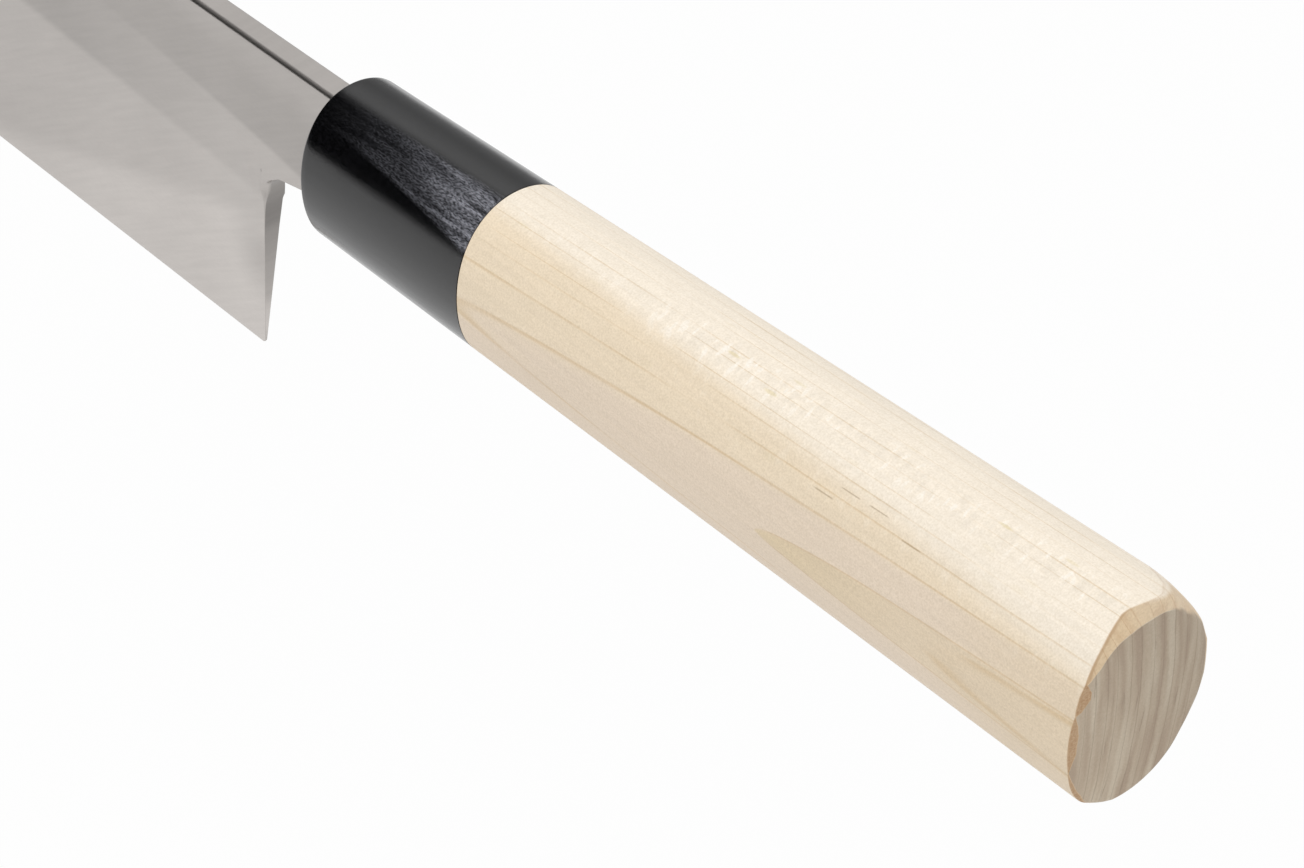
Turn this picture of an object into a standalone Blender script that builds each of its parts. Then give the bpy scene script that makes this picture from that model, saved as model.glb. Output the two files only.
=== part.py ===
"""Usuba, a Japanese vegetable knife: a single-bevel blade in a wooden handle with a dark ferrule.

The knife is held edge down. +X runs from the handle to the tip, +Y is the left of whoever holds it,
and +Z points to the spine. The origin is on the blade's flat left face, in the strip under the spine
at the point of balance, where a magnetic rack takes hold. Lengths are in metres.

The pieces are drawn in the handle's own axes, whose zero is the centre of the ferrule's front face,
and an empty moves them all to the origin above.
"""

import math

import bmesh
import bpy
import numpy as np

MM = 0.001

# Fits between the pieces
CLEARANCE = 0.3 * MM
BEDDING_WALL = 1.0 * MM
FERRULE_WALL = 3.0 * MM

# Blade outline, seen from the side
EDGE_LENGTH = 180.0 * MM
HEIGHT_AT_HEEL = 48.5 * MM
HEIGHT_AT_TIP = 46.0 * MM
SPINE_ABOVE_AXIS = 9.7 * MM
SPINE_RISE = 1.3 * MM
NECK_LENGTH = 14.6 * MM
NECK_HEIGHT = 16.7 * MM
NECK_HEIGHT_AT_HEEL = 19.6 * MM
NECK_DEPTH_IN_FERRULE = 7.0 * MM
NECK_STEP = 0.25 * MM
CHOIL_RADIUS = 4.0 * MM
HEEL_RADIUS = 0.6 * MM
TIP_SPINE_RADIUS = 2.5 * MM
TIP_EDGE_RADIUS = 1.0 * MM

# Blade thickness and grinding
THICKNESS_AT_NECK = 3.6 * MM
THICKNESS_AT_TIP = 1.6 * MM
LEFT_FACE_OFFSET = 2.55 * MM
BEVEL_HEIGHT_AT_HEEL = 25.5 * MM
BEVEL_HEIGHT_AT_TIP = 23.5 * MM
EDGE_THICKNESS = 0.3 * MM
SPINE_CHAMFER = 0.4 * MM

# Hollow ground into the flat left face
HOLLOW_DEPTH = 0.35 * MM
HOLLOW_RIM_AT_EDGE = 1.2 * MM
HOLLOW_RIM_AT_SPINE = 6.0 * MM
HOLLOW_RIM_GAIN_AT_HEEL = 9.0 * MM
HOLLOW_RIM_FADE = 55.0 * MM
HOLLOW_RUNOUT = 9.0 * MM
HOLLOW_END_RIM = 1.5 * MM
RACK_POINT_FROM_FERRULE = 65.0 * MM
RACK_POINT_BELOW_SPINE = 4.0 * MM

# Tang
TANG_LENGTH = 88.0 * MM
TANG_HEIGHT_FRONT = 10.0 * MM
TANG_HEIGHT_END = 6.0 * MM
TANG_THICKNESS_FRONT = 3.2 * MM
TANG_THICKNESS_END = 2.2 * MM

# Handle, with the ferrule
HANDLE_LENGTH = 130.0 * MM
FERRULE_LENGTH = 29.8 * MM
FRONT_WIDTH = 18.6 * MM
FRONT_HEIGHT = 24.1 * MM
BUTT_WIDTH = 22.9 * MM
BUTT_HEIGHT = 30.3 * MM
BUTT_RISE = 1.8 * MM
TENON_LENGTH = 12.0 * MM
FERRULE_EDGE_RADIUS = 0.5 * MM
OVAL_LEAN = 0.045
OVAL_SQUARENESS = 0.016
BUTT_CHAMFER_DEPTH = 1.5 * MM
BUTT_CHAMFER_INSET = 1.8 * MM
BUTT_CHAMFER_LEAST = 0.3 * MM

# Slope of each saw cut, towards the left and upwards
FRONT_CUT = (-0.021, 0.008)
JOINT_CUT = (0.026, -0.017)
BUTT_CUT = (0.022, -0.009)

# Fineness of the curves
OVAL_SIDES = 48
ARC_STEP = math.radians(15)
EDGE_ROUND_STEPS = 4
HOLLOW_STATIONS = 13
HOLLOW_POINTS = 11
SHARP_ANGLE = math.radians(30)

# How far a cutter reaches past what it cuts, and how close two points are one
OVERCUT = 2.0 * MM
HOLLOW_OVERREACH = 1.2
MERGE_DISTANCE = 0.01 * MM

# Places that follow from the sizes, along X from the ferrule's front face
HEEL_X = NECK_LENGTH
TIP_X = HEEL_X + EDGE_LENGTH
JOINT_X = -FERRULE_LENGTH
BUTT_X = -HANDLE_LENGTH
NECK_X = CLEARANCE + abs(FRONT_CUT[0]) * LEFT_FACE_OFFSET + abs(FRONT_CUT[1]) * SPINE_ABOVE_AXIS
SHOULDER_X = -NECK_DEPTH_IN_FERRULE
LEFT_Y = LEFT_FACE_OFFSET
RIGHT_Y = LEFT_Y - THICKNESS_AT_NECK
NECK_LOW_Z = SPINE_ABOVE_AXIS - NECK_HEIGHT
TANG_Y = (LEFT_Y + RIGHT_Y) / 2
TANG_Z = (SPINE_ABOVE_AXIS + NECK_LOW_Z) / 2


def spine_z(x):
    """Height of the spine, a straight line that rises a little towards the tip."""
    return SPINE_ABOVE_AXIS + SPINE_RISE * x / TIP_X


def blade_share(x):
    """0 at the heel and 1 at the tip."""
    return (x - HEEL_X) / EDGE_LENGTH


def edge_z(x):
    """Height of the cutting edge, a straight line from heel to tip."""
    heel = spine_z(HEEL_X) - HEIGHT_AT_HEEL
    tip = spine_z(TIP_X) - HEIGHT_AT_TIP
    return heel + (tip - heel) * blade_share(x)


def right_face_y(x):
    """Right face of the blade, which thins evenly from the ferrule to the tip."""
    thickness = THICKNESS_AT_NECK + (THICKNESS_AT_TIP - THICKNESS_AT_NECK) * x / TIP_X
    return LEFT_Y - thickness


def bevel_top_z(x):
    """Height of the ridge between the right face and the wide cutting bevel."""
    height = BEVEL_HEIGHT_AT_HEEL + (BEVEL_HEIGHT_AT_TIP - BEVEL_HEIGHT_AT_HEEL) * blade_share(x)
    return edge_z(x) + height


def handle_ring(x, inset=0.0, cut=(0.0, 0.0)):
    """Closed ring of points round the handle at x, which may differ from point to point.

    The section is an oval that leans towards the upper left and is slightly squared: its radius is
    1 + lean * sin(2a) - squareness * cos(4a). Width, height and centre change evenly along X.
    """
    angle = np.linspace(0, 2 * math.pi, OVAL_SIDES, endpoint=False)
    radius = 1 + OVAL_LEAN * np.sin(2 * angle) - OVAL_SQUARENESS * np.cos(4 * angle)
    across = radius * np.cos(angle)
    upward = radius * np.sin(angle)
    across /= np.abs(across).max()
    upward /= np.abs(upward).max()
    share = np.asarray(x) / BUTT_X
    half_width = (FRONT_WIDTH + (BUTT_WIDTH - FRONT_WIDTH) * share) / 2 - inset
    half_height = (FRONT_HEIGHT + (BUTT_HEIGHT - FRONT_HEIGHT) * share) / 2 - inset
    y = across * half_width
    z = upward * half_height + BUTT_RISE * share
    return np.stack([x + cut[0] * y + cut[1] * z, y, z], axis=1)


def butt_chamfer(least, most):
    """Size of the hand-sanded butt chamfer round the ring: largest on top, least underneath."""
    angle = np.linspace(0, 2 * math.pi, OVAL_SIDES, endpoint=False)
    return least + (most - least) * ((1 + np.sin(angle)) / 2) ** 2


def tang_ring(x, grow=0.0):
    """Four corners of the tang's rectangular section at x, grown on every side."""
    share = (x - SHOULDER_X) / (-TANG_LENGTH - SHOULDER_X)
    thick = TANG_THICKNESS_FRONT + (TANG_THICKNESS_END - TANG_THICKNESS_FRONT) * share
    high = TANG_HEIGHT_FRONT + (TANG_HEIGHT_END - TANG_HEIGHT_FRONT) * share
    side = thick / 2 + grow
    top = high / 2 + grow
    corners = [(-side, -top), (side, -top), (side, top), (-side, top)]
    return [(x, TANG_Y + y, TANG_Z + z) for y, z in corners]


def neck_root_corners(grow):
    """Opposite corners, in (Y, Z), of the part of the neck inside the ferrule, grown on every side."""
    change = grow - NECK_STEP
    return (RIGHT_Y - change, NECK_LOW_Z - change), (LEFT_Y + change, SPINE_ABOVE_AXIS + change)


def corner_arc(before, corner, after, radius):
    """Points of the arc that rounds a corner of a flat outline, from one tangent point to the other."""
    to_before = np.subtract(before, corner) / math.dist(before, corner)
    to_after = np.subtract(after, corner) / math.dist(after, corner)
    half = math.acos(float(to_before @ to_after)) / 2
    middle = to_before + to_after
    centre = corner + middle / np.linalg.norm(middle) * radius / math.sin(half)
    start = corner + to_before * radius / math.tan(half) - centre
    end = corner + to_after * radius / math.tan(half) - centre
    first = math.atan2(start[1], start[0])
    sweep = math.atan2(start[0] * end[1] - start[1] * end[0], float(start @ end))
    angles = first + sweep * np.linspace(0, 1, max(3, math.ceil(abs(sweep) / ARC_STEP) + 1))
    return [(centre[0] + radius * math.cos(a), centre[1] + radius * math.sin(a)) for a in angles]


def rounded_outline(corners):
    """Flat outline from (x, z, radius) corners, each one rounded by its radius or left sharp."""
    points = []
    for index, (x, z, radius) in enumerate(corners):
        before = corners[index - 1][:2]
        after = corners[(index + 1) % len(corners)][:2]
        points += corner_arc(before, np.array((x, z)), after, radius) if radius else [(x, z)]
    return points


def clear_scene():
    """Remove every object of the scene."""
    for obj in list(bpy.data.objects):
        bpy.data.objects.remove(obj)


def collection(name):
    """New collection in the scene."""
    made = bpy.data.collections.new(name)
    bpy.context.scene.collection.children.link(made)
    return made


def material(name, colour, roughness, metallic):
    """Principled material."""
    made = bpy.data.materials.new(name)
    made.use_nodes = True
    shader = made.node_tree.nodes["Principled BSDF"]
    shader.inputs["Base Color"].default_value = (*colour, 1)
    shader.inputs["Roughness"].default_value = roughness
    shader.inputs["Metallic"].default_value = metallic
    return made


def loft(name, rings, target):
    """Closed solid through rings of equally many points, with a flat face over each end."""
    shape = bmesh.new()
    rows = [[shape.verts.new(point) for point in ring] for ring in rings]
    for low, high in zip(rows, rows[1:]):
        for index in range(len(low)):
            following = (index + 1) % len(low)
            shape.faces.new((low[index], low[following], high[following], high[index]))
    shape.faces.new(rows[0])
    shape.faces.new(rows[-1])
    bmesh.ops.recalc_face_normals(shape, faces=shape.faces)
    mesh = bpy.data.meshes.new(name)
    shape.to_mesh(mesh)
    shape.free()
    made = bpy.data.objects.new(name, mesh)
    target.objects.link(made)
    return made


def plate(name, outline, y_low, y_high, target):
    """Solid of a flat X, Z outline between two values of Y."""
    curve = bpy.data.curves.new(name, "CURVE")
    curve.dimensions = "2D"
    curve.fill_mode = "BOTH"
    curve.extrude = (y_high - y_low) / 2
    spline = curve.splines.new("POLY")
    spline.points.add(len(outline) - 1)
    for point, (x, z) in zip(spline.points, outline):
        point.co = (x, z, 0, 1)
    spline.use_cyclic_u = True
    drawn = bpy.data.objects.new(name + "_outline", curve)
    drawn.location = (0, (y_low + y_high) / 2, 0)
    drawn.rotation_euler = (math.pi / 2, 0, 0)
    target.objects.link(drawn)
    bpy.context.view_layer.update()
    evaluated = drawn.evaluated_get(bpy.context.evaluated_depsgraph_get())
    mesh = bpy.data.meshes.new_from_object(evaluated)
    made = bpy.data.objects.new(name, mesh)
    made.matrix_world = drawn.matrix_world
    target.objects.link(made)
    bpy.data.objects.remove(drawn)
    shape = bmesh.new()
    shape.from_mesh(mesh)
    bmesh.ops.remove_doubles(shape, verts=shape.verts, dist=MERGE_DISTANCE)
    bmesh.ops.recalc_face_normals(shape, faces=shape.faces)
    shape.to_mesh(mesh)
    shape.free()
    return made


def box(name, low, high, target):
    """Box between two corners."""
    shape = bmesh.new()
    bmesh.ops.create_cube(shape, size=1)
    size = np.subtract(high, low)
    middle = np.add(high, low) / 2
    bmesh.ops.scale(shape, vec=size, verts=shape.verts)
    bmesh.ops.translate(shape, vec=middle, verts=shape.verts)
    mesh = bpy.data.meshes.new(name)
    shape.to_mesh(mesh)
    shape.free()
    made = bpy.data.objects.new(name, mesh)
    target.objects.link(made)
    return made


def combine(body, tool, operation):
    """Cut a tool from a body, or join it on, with a Boolean modifier."""
    modifier = body.modifiers.new(tool.name, "BOOLEAN")
    modifier.object = tool
    modifier.operation = operation
    modifier.solver = "EXACT"
    tool.hide_render = True
    tool.display_type = "WIRE"


def dress(body, finish, frame):
    """Give a finished piece its material and place it with the others."""
    body.data.materials.clear()
    body.data.materials.append(finish)
    body.data.shade_smooth()
    body.data.set_sharp_from_angle(angle=SHARP_ANGLE)
    body.parent = frame


def right_side_section(x):
    """Outline, at x, of what grinding takes off the right side: the taper and the wide bevel."""
    top = spine_z(x) + OVERCUT
    outside = RIGHT_Y - OVERCUT
    face = right_face_y(x)
    ridge = bevel_top_z(x)
    edge_y = LEFT_Y - EDGE_THICKNESS
    slope = (edge_y - face) / (ridge - edge_z(x))
    below = edge_z(x) - OVERCUT
    return [
        (x, outside, top),
        (x, face, top),
        (x, face, ridge),
        (x, edge_y + slope * OVERCUT, below),
        (x, outside, below),
    ]


def spine_chamfer_section(x, side_y, outward):
    """Triangle, at x, that takes off one edge of the spine. outward is 1 on the left, -1 on the right."""
    top = spine_z(x)
    reach = SPINE_CHAMFER + OVERCUT
    return [
        (x, side_y - outward * reach, top + OVERCUT),
        (x, side_y + outward * OVERCUT, top - reach),
        (x, side_y + outward * OVERCUT, top + OVERCUT),
    ]


def hollow_section(x):
    """Outline, at x, of the shallow trough that a large wheel leaves in the left face.

    Depth falls with the square of the distance from the middle line. The wheel comes in and lifts
    out over the run-out length, and the rim under the spine is widest at the heel.
    """
    rim_gain = HOLLOW_RIM_GAIN_AT_HEEL * math.exp(-(x - HEEL_X) / HOLLOW_RIM_FADE)
    high = spine_z(x) - HOLLOW_RIM_AT_SPINE - rim_gain
    low = edge_z(x) + HOLLOW_RIM_AT_EDGE
    middle = (high + low) / 2
    half = (high - low) / 2
    from_end = min(x - HEEL_X, TIP_X - x) - HOLLOW_END_RIM
    lift = max(0.0, 1 - from_end / HOLLOW_RUNOUT) ** 2
    offset = np.linspace(-HOLLOW_OVERREACH, HOLLOW_OVERREACH, HOLLOW_POINTS)
    y = LEFT_Y - HOLLOW_DEPTH * (1 - offset**2 - lift)
    z = middle + offset * half
    trough = [(x, float(a), float(b)) for a, b in zip(y, z)]
    return trough + [(x, LEFT_Y + OVERCUT, trough[-1][2]), (x, LEFT_Y + OVERCUT, trough[0][2])]


def hollow_stations():
    """Places of the trough's sections: closer together where the wheel comes in and lifts out."""
    share = np.linspace(0, math.pi, HOLLOW_STATIONS)
    return HEEL_X + EDGE_LENGTH * (1 - np.cos(share)) / 2


def make_blade(parts, cutters):
    """Blade with its neck and tang, forged as one piece of steel."""
    neck_low_at_heel = spine_z(HEEL_X) - NECK_HEIGHT_AT_HEEL
    outline = rounded_outline([
        (NECK_X, spine_z(NECK_X), 0),
        (TIP_X, spine_z(TIP_X), TIP_SPINE_RADIUS),
        (TIP_X, edge_z(TIP_X), TIP_EDGE_RADIUS),
        (HEEL_X, edge_z(HEEL_X), HEEL_RADIUS),
        (HEEL_X, neck_low_at_heel, CHOIL_RADIUS),
        (NECK_X, NECK_LOW_Z, 0),
    ])
    blade = plate("blade", outline, RIGHT_Y, LEFT_Y, parts)
    root_low, root_high = neck_root_corners(grow=0.0)
    root = box("neck_root", (SHOULDER_X, *root_low), (NECK_X + OVERCUT, *root_high), cutters)
    combine(blade, root, "UNION")
    tang = loft("tang", [tang_ring(SHOULDER_X + OVERCUT), tang_ring(-TANG_LENGTH)], cutters)
    combine(blade, tang, "UNION")
    start = SHOULDER_X - OVERCUT
    end = TIP_X + OVERCUT
    grinding = loft("right_side_grinding", [right_side_section(x) for x in (start, HEEL_X, end)], cutters)
    combine(blade, grinding, "DIFFERENCE")
    hollow = loft("hollow_grinding", [hollow_section(x) for x in hollow_stations()], cutters)
    combine(blade, hollow, "DIFFERENCE")
    left = [spine_chamfer_section(x, LEFT_Y, 1) for x in (start, end)]
    right = [spine_chamfer_section(x, right_face_y(x), -1) for x in (start, end)]
    combine(blade, loft("spine_chamfer_left", left, cutters), "DIFFERENCE")
    combine(blade, loft("spine_chamfer_right", right, cutters), "DIFFERENCE")
    return blade


def make_ferrule(parts, cutters):
    """Dark collar: a slot for the neck in front, a bore for the tang, a socket for the tenon behind."""
    round_off = np.linspace(0, math.pi / 2, EDGE_ROUND_STEPS)
    rings = [
        handle_ring(
            -FERRULE_EDGE_RADIUS * (1 - math.cos(a)),
            inset=FERRULE_EDGE_RADIUS * (1 - math.sin(a)),
            cut=FRONT_CUT,
        )
        for a in round_off
    ]
    ferrule = loft("ferrule", rings + [handle_ring(JOINT_X, cut=JOINT_CUT)], parts)
    slot_low, slot_high = neck_root_corners(grow=CLEARANCE)
    slot = box("neck_slot", (SHOULDER_X - CLEARANCE, *slot_low), (OVERCUT, *slot_high), cutters)
    socket_rings = [
        handle_ring(JOINT_X - OVERCUT, inset=FERRULE_WALL),
        handle_ring(JOINT_X + TENON_LENGTH + CLEARANCE, inset=FERRULE_WALL),
    ]
    combine(ferrule, slot, "DIFFERENCE")
    combine(ferrule, loft("tenon_socket", socket_rings, cutters), "DIFFERENCE")
    combine(ferrule, tang_bore("ferrule_bore", cutters), "DIFFERENCE")
    return ferrule


def tang_bore(name, cutters):
    """Burned-in hole for the tang and the resin round it."""
    grow = BEDDING_WALL + 2 * CLEARANCE
    return loft(name, [tang_ring(SHOULDER_X + CLEARANCE, grow), tang_ring(-TANG_LENGTH - grow, grow)], cutters)


def make_handle_body(parts, cutters):
    """Wooden grip: an oval that widens to the butt, with a tenon that goes into the ferrule."""
    butt_inset = butt_chamfer(BUTT_CHAMFER_LEAST, BUTT_CHAMFER_INSET)
    butt_depth = butt_chamfer(BUTT_CHAMFER_LEAST, BUTT_CHAMFER_DEPTH)
    shoulder = JOINT_X - CLEARANCE
    rings = [
        handle_ring(BUTT_X, inset=butt_inset, cut=BUTT_CUT),
        handle_ring(BUTT_X + butt_depth, cut=BUTT_CUT),
        handle_ring(shoulder, cut=JOINT_CUT),
    ]
    body = loft("handle_body", rings, parts)
    tenon_inset = FERRULE_WALL + CLEARANCE
    tenon_rings = [
        handle_ring(shoulder - OVERCUT, inset=tenon_inset),
        handle_ring(JOINT_X + TENON_LENGTH, inset=tenon_inset),
    ]
    combine(body, loft("tenon", tenon_rings, cutters), "UNION")
    combine(body, tang_bore("handle_bore", cutters), "DIFFERENCE")
    return body


def make_bedding(parts, cutters):
    """Sleeve of cast resin that fills the bore round the tang."""
    grow = BEDDING_WALL + CLEARANCE
    front = SHOULDER_X - CLEARANCE
    sleeve = loft("tang_bedding", [tang_ring(front, grow), tang_ring(-TANG_LENGTH - grow, grow)], parts)
    room = [tang_ring(front + OVERCUT, CLEARANCE), tang_ring(-TANG_LENGTH - CLEARANCE, CLEARANCE)]
    combine(sleeve, loft("tang_room", room, cutters), "DIFFERENCE")
    return sleeve


def main():
    """Build the knife."""
    clear_scene()
    parts = collection("usuba_knife")
    cutters = collection("cutters")
    frame = bpy.data.objects.new("knife_frame", None)
    rack_z = spine_z(RACK_POINT_FROM_FERRULE) - RACK_POINT_BELOW_SPINE
    frame.location = (-RACK_POINT_FROM_FERRULE, -LEFT_Y, -rack_z)
    parts.objects.link(frame)
    steel = material("satin_carbon_steel", (0.50, 0.47, 0.45), 0.35, 1.0)
    dark = material("black_laminated_wood", (0.03, 0.03, 0.035), 0.4, 0.0)
    magnolia = material("bare_magnolia_wood", (0.80, 0.67, 0.50), 0.6, 0.0)
    resin = material("amber_resin", (0.55, 0.35, 0.12), 0.3, 0.0)
    dress(make_blade(parts, cutters), steel, frame)
    dress(make_ferrule(parts, cutters), dark, frame)
    dress(make_handle_body(parts, cutters), magnolia, frame)
    dress(make_bedding(parts, cutters), resin, frame)
    for tool in cutters.objects:
        tool.parent = frame


main()
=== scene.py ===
"""Usuba knife, dressed: steel blade, black wooden ferrule, magnolia grip and resin, in a white studio.

Shapes are worked out in millimetres in the handle's own axes, whose zero is the centre of the
ferrule's front face: +X runs to the tip, +Y to the left of whoever holds it and +Z to the spine.
make_piece moves them to the knife's origin and to metres.
"""

import logging
import math
from collections.abc import Callable, Mapping, Sequence
from dataclasses import dataclass
from enum import Enum
from functools import partial
from typing import Any

import bmesh
import bpy
import numpy as np
from mathutils import Matrix


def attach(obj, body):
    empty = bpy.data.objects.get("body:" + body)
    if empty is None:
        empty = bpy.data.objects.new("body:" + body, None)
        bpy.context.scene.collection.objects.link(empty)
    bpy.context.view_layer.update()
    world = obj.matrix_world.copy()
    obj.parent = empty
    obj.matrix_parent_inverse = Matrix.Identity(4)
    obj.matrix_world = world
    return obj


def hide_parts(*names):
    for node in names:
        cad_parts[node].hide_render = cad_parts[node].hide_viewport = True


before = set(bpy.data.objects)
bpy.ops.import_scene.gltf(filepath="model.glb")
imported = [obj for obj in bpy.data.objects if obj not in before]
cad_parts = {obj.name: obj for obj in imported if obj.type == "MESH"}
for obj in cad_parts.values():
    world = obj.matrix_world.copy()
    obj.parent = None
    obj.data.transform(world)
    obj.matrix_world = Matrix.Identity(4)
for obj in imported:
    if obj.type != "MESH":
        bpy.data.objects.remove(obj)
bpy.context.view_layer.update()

LOG = logging.getLogger("usuba_knife")
MM = 0.001
HANDLE_ZERO = np.array((-65.0, -2.55, -6.134))
WELD_DISTANCE = 0.0007
SHARP_ANGLE = math.radians(38)
TINT = {"output": 2, "data_type": "RGBA"}
TIMES = {"output": 2, "data_type": "RGBA", "blend_type": "MULTIPLY"}
SOFT = {"interpolation_type": "SMOOTHSTEP"}
Socket = bpy.types.NodeSocket
AddNode = Callable[..., Socket]
Inputs = Mapping[int | str, Any] | Sequence[Any]
Table = tuple[float, ...]
Triple = tuple[float, float, float]


class Side(Enum):
    """The two faces of the blade, by the sign of the direction that they face along Y."""

    LEFT = 1
    RIGHT = -1


class SawCut(Enum):
    """Slope of each saw cut across the handle, in mm of X per mm to the left and upwards."""

    FRONT = (-0.021, 0.008)
    JOINT = (0.026, -0.017)
    BUTT = (0.022, -0.009)
    SQUARE = (0.0, 0.0)


def linear_colour(hex_colour: str) -> tuple[float, float, float, float]:
    """Turn an sRGB colour into the linear one that a shader takes.

    Each channel is c / 12.92 below 0.04045, and ((c + 0.055) / 1.055) to the power of 2.4 above.

    Args:
        hex_colour: six hex digits after a hash sign.

    Returns:
        Linear red, green and blue, and an alpha of 1.
    """
    channels = np.array([int(hex_colour[i : i + 2], 16) / 255 for i in (1, 3, 5)])
    linear = np.where(channels <= 0.04045, channels / 12.92, ((channels + 0.055) / 1.055) ** 2.4)
    return (*linear.tolist(), 1.0)


def feed(node: bpy.types.Node, inputs: Inputs) -> None:
    """Link or set the inputs of a node.

    Args:
        node: the node.
        inputs: the output socket linked to each input, or its plain value or hex colour, by
            the input's name or number, or in the inputs' order.
    """
    for key, value in inputs.items() if isinstance(inputs, Mapping) else enumerate(inputs):
        if isinstance(value, Socket):
            node.id_data.links.new(value, node.inputs[key])
        else:
            node.inputs[key].default_value = linear_colour(value) if isinstance(value, str) else value


def add_node(
    tree: bpy.types.NodeTree, kind: str, inputs: Inputs = (), output: int | str = 0, **settings: Any
) -> Socket:
    """Add a shader node, set it up and link what feeds it.

    Args:
        tree: node tree that the node joins.
        kind: node type after the word ShaderNode.
        inputs: links and values, as feed takes them.
        output: which output to hand back.
        settings: the node's own properties.

    Returns:
        The chosen output socket.
    """
    node = tree.nodes.new("ShaderNode" + kind)
    for name, value in settings.items():
        setattr(node, name, value)
    feed(node, inputs)
    return node.outputs[output]


def new_material(name: str) -> tuple[bpy.types.Material, AddNode]:
    """Make a material with a Principled shader.

    Args:
        name: name of the material.

    Returns:
        The material, and the call that adds a node to it.
    """
    material = bpy.data.materials.new(name)
    material.use_nodes = True
    return material, partial(add_node, material.node_tree)


def handle_place(node: AddNode) -> Socket:
    """Work out the handle's own coordinates: Object coordinates times 1000, less the handle's zero.

    Args:
        node: adds a node to the material.

    Returns:
        Coordinates in the handle's axes, in mm.
    """
    found = node("TexCoord", (), "Object")
    in_mm = node("VectorMath", {0: found, "Scale": 1 / MM}, operation="SCALE")
    return node("VectorMath", (in_mm, tuple(HANDLE_ZERO.tolist())), operation="SUBTRACT")


def weld(grids: Sequence[np.ndarray]) -> tuple[np.ndarray, np.ndarray, np.ndarray]:
    """Join grids of points into one surface.

    Every four neighbouring points of a grid make a quad. Points that fall on each other become
    one, so shared rows join, rings close, and a row drawn together to a point becomes a pole,
    where the quads turn into triangles.

    Args:
        grids: arrays of rows, columns and channels, the first three of which are X, Y and Z.

    Returns:
        Points with their channels, quads and triangles.
    """
    corners = np.concatenate([
        np.stack([g[:-1, :-1], g[1:, :-1], g[1:, 1:], g[:-1, 1:]], axis=2).reshape(-1, g.shape[2])
        for g in grids
    ])
    keys = np.round(corners[:, :3] / WELD_DISTANCE).astype(np.int64)
    _, first, index = np.unique(keys, axis=0, return_index=True, return_inverse=True)
    faces = index.reshape(-1, 4)
    repeated = faces == np.roll(faces, -1, axis=1)
    quads = faces[repeated.sum(axis=1) == 0]
    pinched = repeated.sum(axis=1) == 1
    triangles = faces[pinched][~repeated[pinched]].reshape(-1, 3)
    return corners[first], quads, triangles


def make_piece(
    name: str,
    grids: Sequence[np.ndarray],
    marks: Sequence[str],
    finish: bpy.types.Material,
    node: str,
) -> bpy.types.Object:
    """Make one closed piece from its grids and put it in place of its CAD node.

    Args:
        name: name of the piece.
        grids: surfaces in the handle's axes, in mm, with one more channel for each mark.
        marks: names of the point attributes that the further channels become.
        finish: material.
        node: CAD node that the piece stands for.

    Returns:
        The object, at the origin, with its place in its mesh.
    """
    points, quads, triangles = weld(grids)
    placed = (points[:, :3] + HANDLE_ZERO) * MM
    mesh = bpy.data.meshes.new(name)
    mesh.from_pydata(placed, [], quads.tolist() + triangles.tolist())
    for channel, mark in enumerate(marks, start=3):
        layer = mesh.attributes.new(mark, "FLOAT", "POINT")
        layer.data.foreach_set("value", points[:, channel].astype(np.float32))
    shell = bmesh.new()
    shell.from_mesh(mesh)
    bmesh.ops.recalc_face_normals(shell, faces=shell.faces)
    open_edges = sum(not edge.is_manifold for edge in shell.edges)
    shell.to_mesh(mesh)
    shell.free()
    mesh.shade_smooth()
    mesh.set_sharp_from_angle(angle=SHARP_ANGLE)
    mesh.materials.append(finish)
    piece = bpy.data.objects.new(name, mesh)
    bpy.context.scene.collection.objects.link(piece)
    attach(piece, "root")
    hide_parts(node)
    LOG.info("%s: %d faces, %d open edges", name, len(mesh.polygons), open_edges)
    return piece


def with_marks(grid: np.ndarray, *marks: np.ndarray | float) -> np.ndarray:
    """Grid with further channels, each an array over the grid or one value for all of it."""
    spread = [np.broadcast_to(mark, grid.shape[:2])[..., None] for mark in marks]
    return np.concatenate([grid, *spread], axis=2)


def between(start: np.ndarray, end: np.ndarray, shares: np.ndarray) -> np.ndarray:
    """Rows on straight lines from each point of one row to the same point of another."""
    return start + shares[:, None, None] * (end - start)


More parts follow.
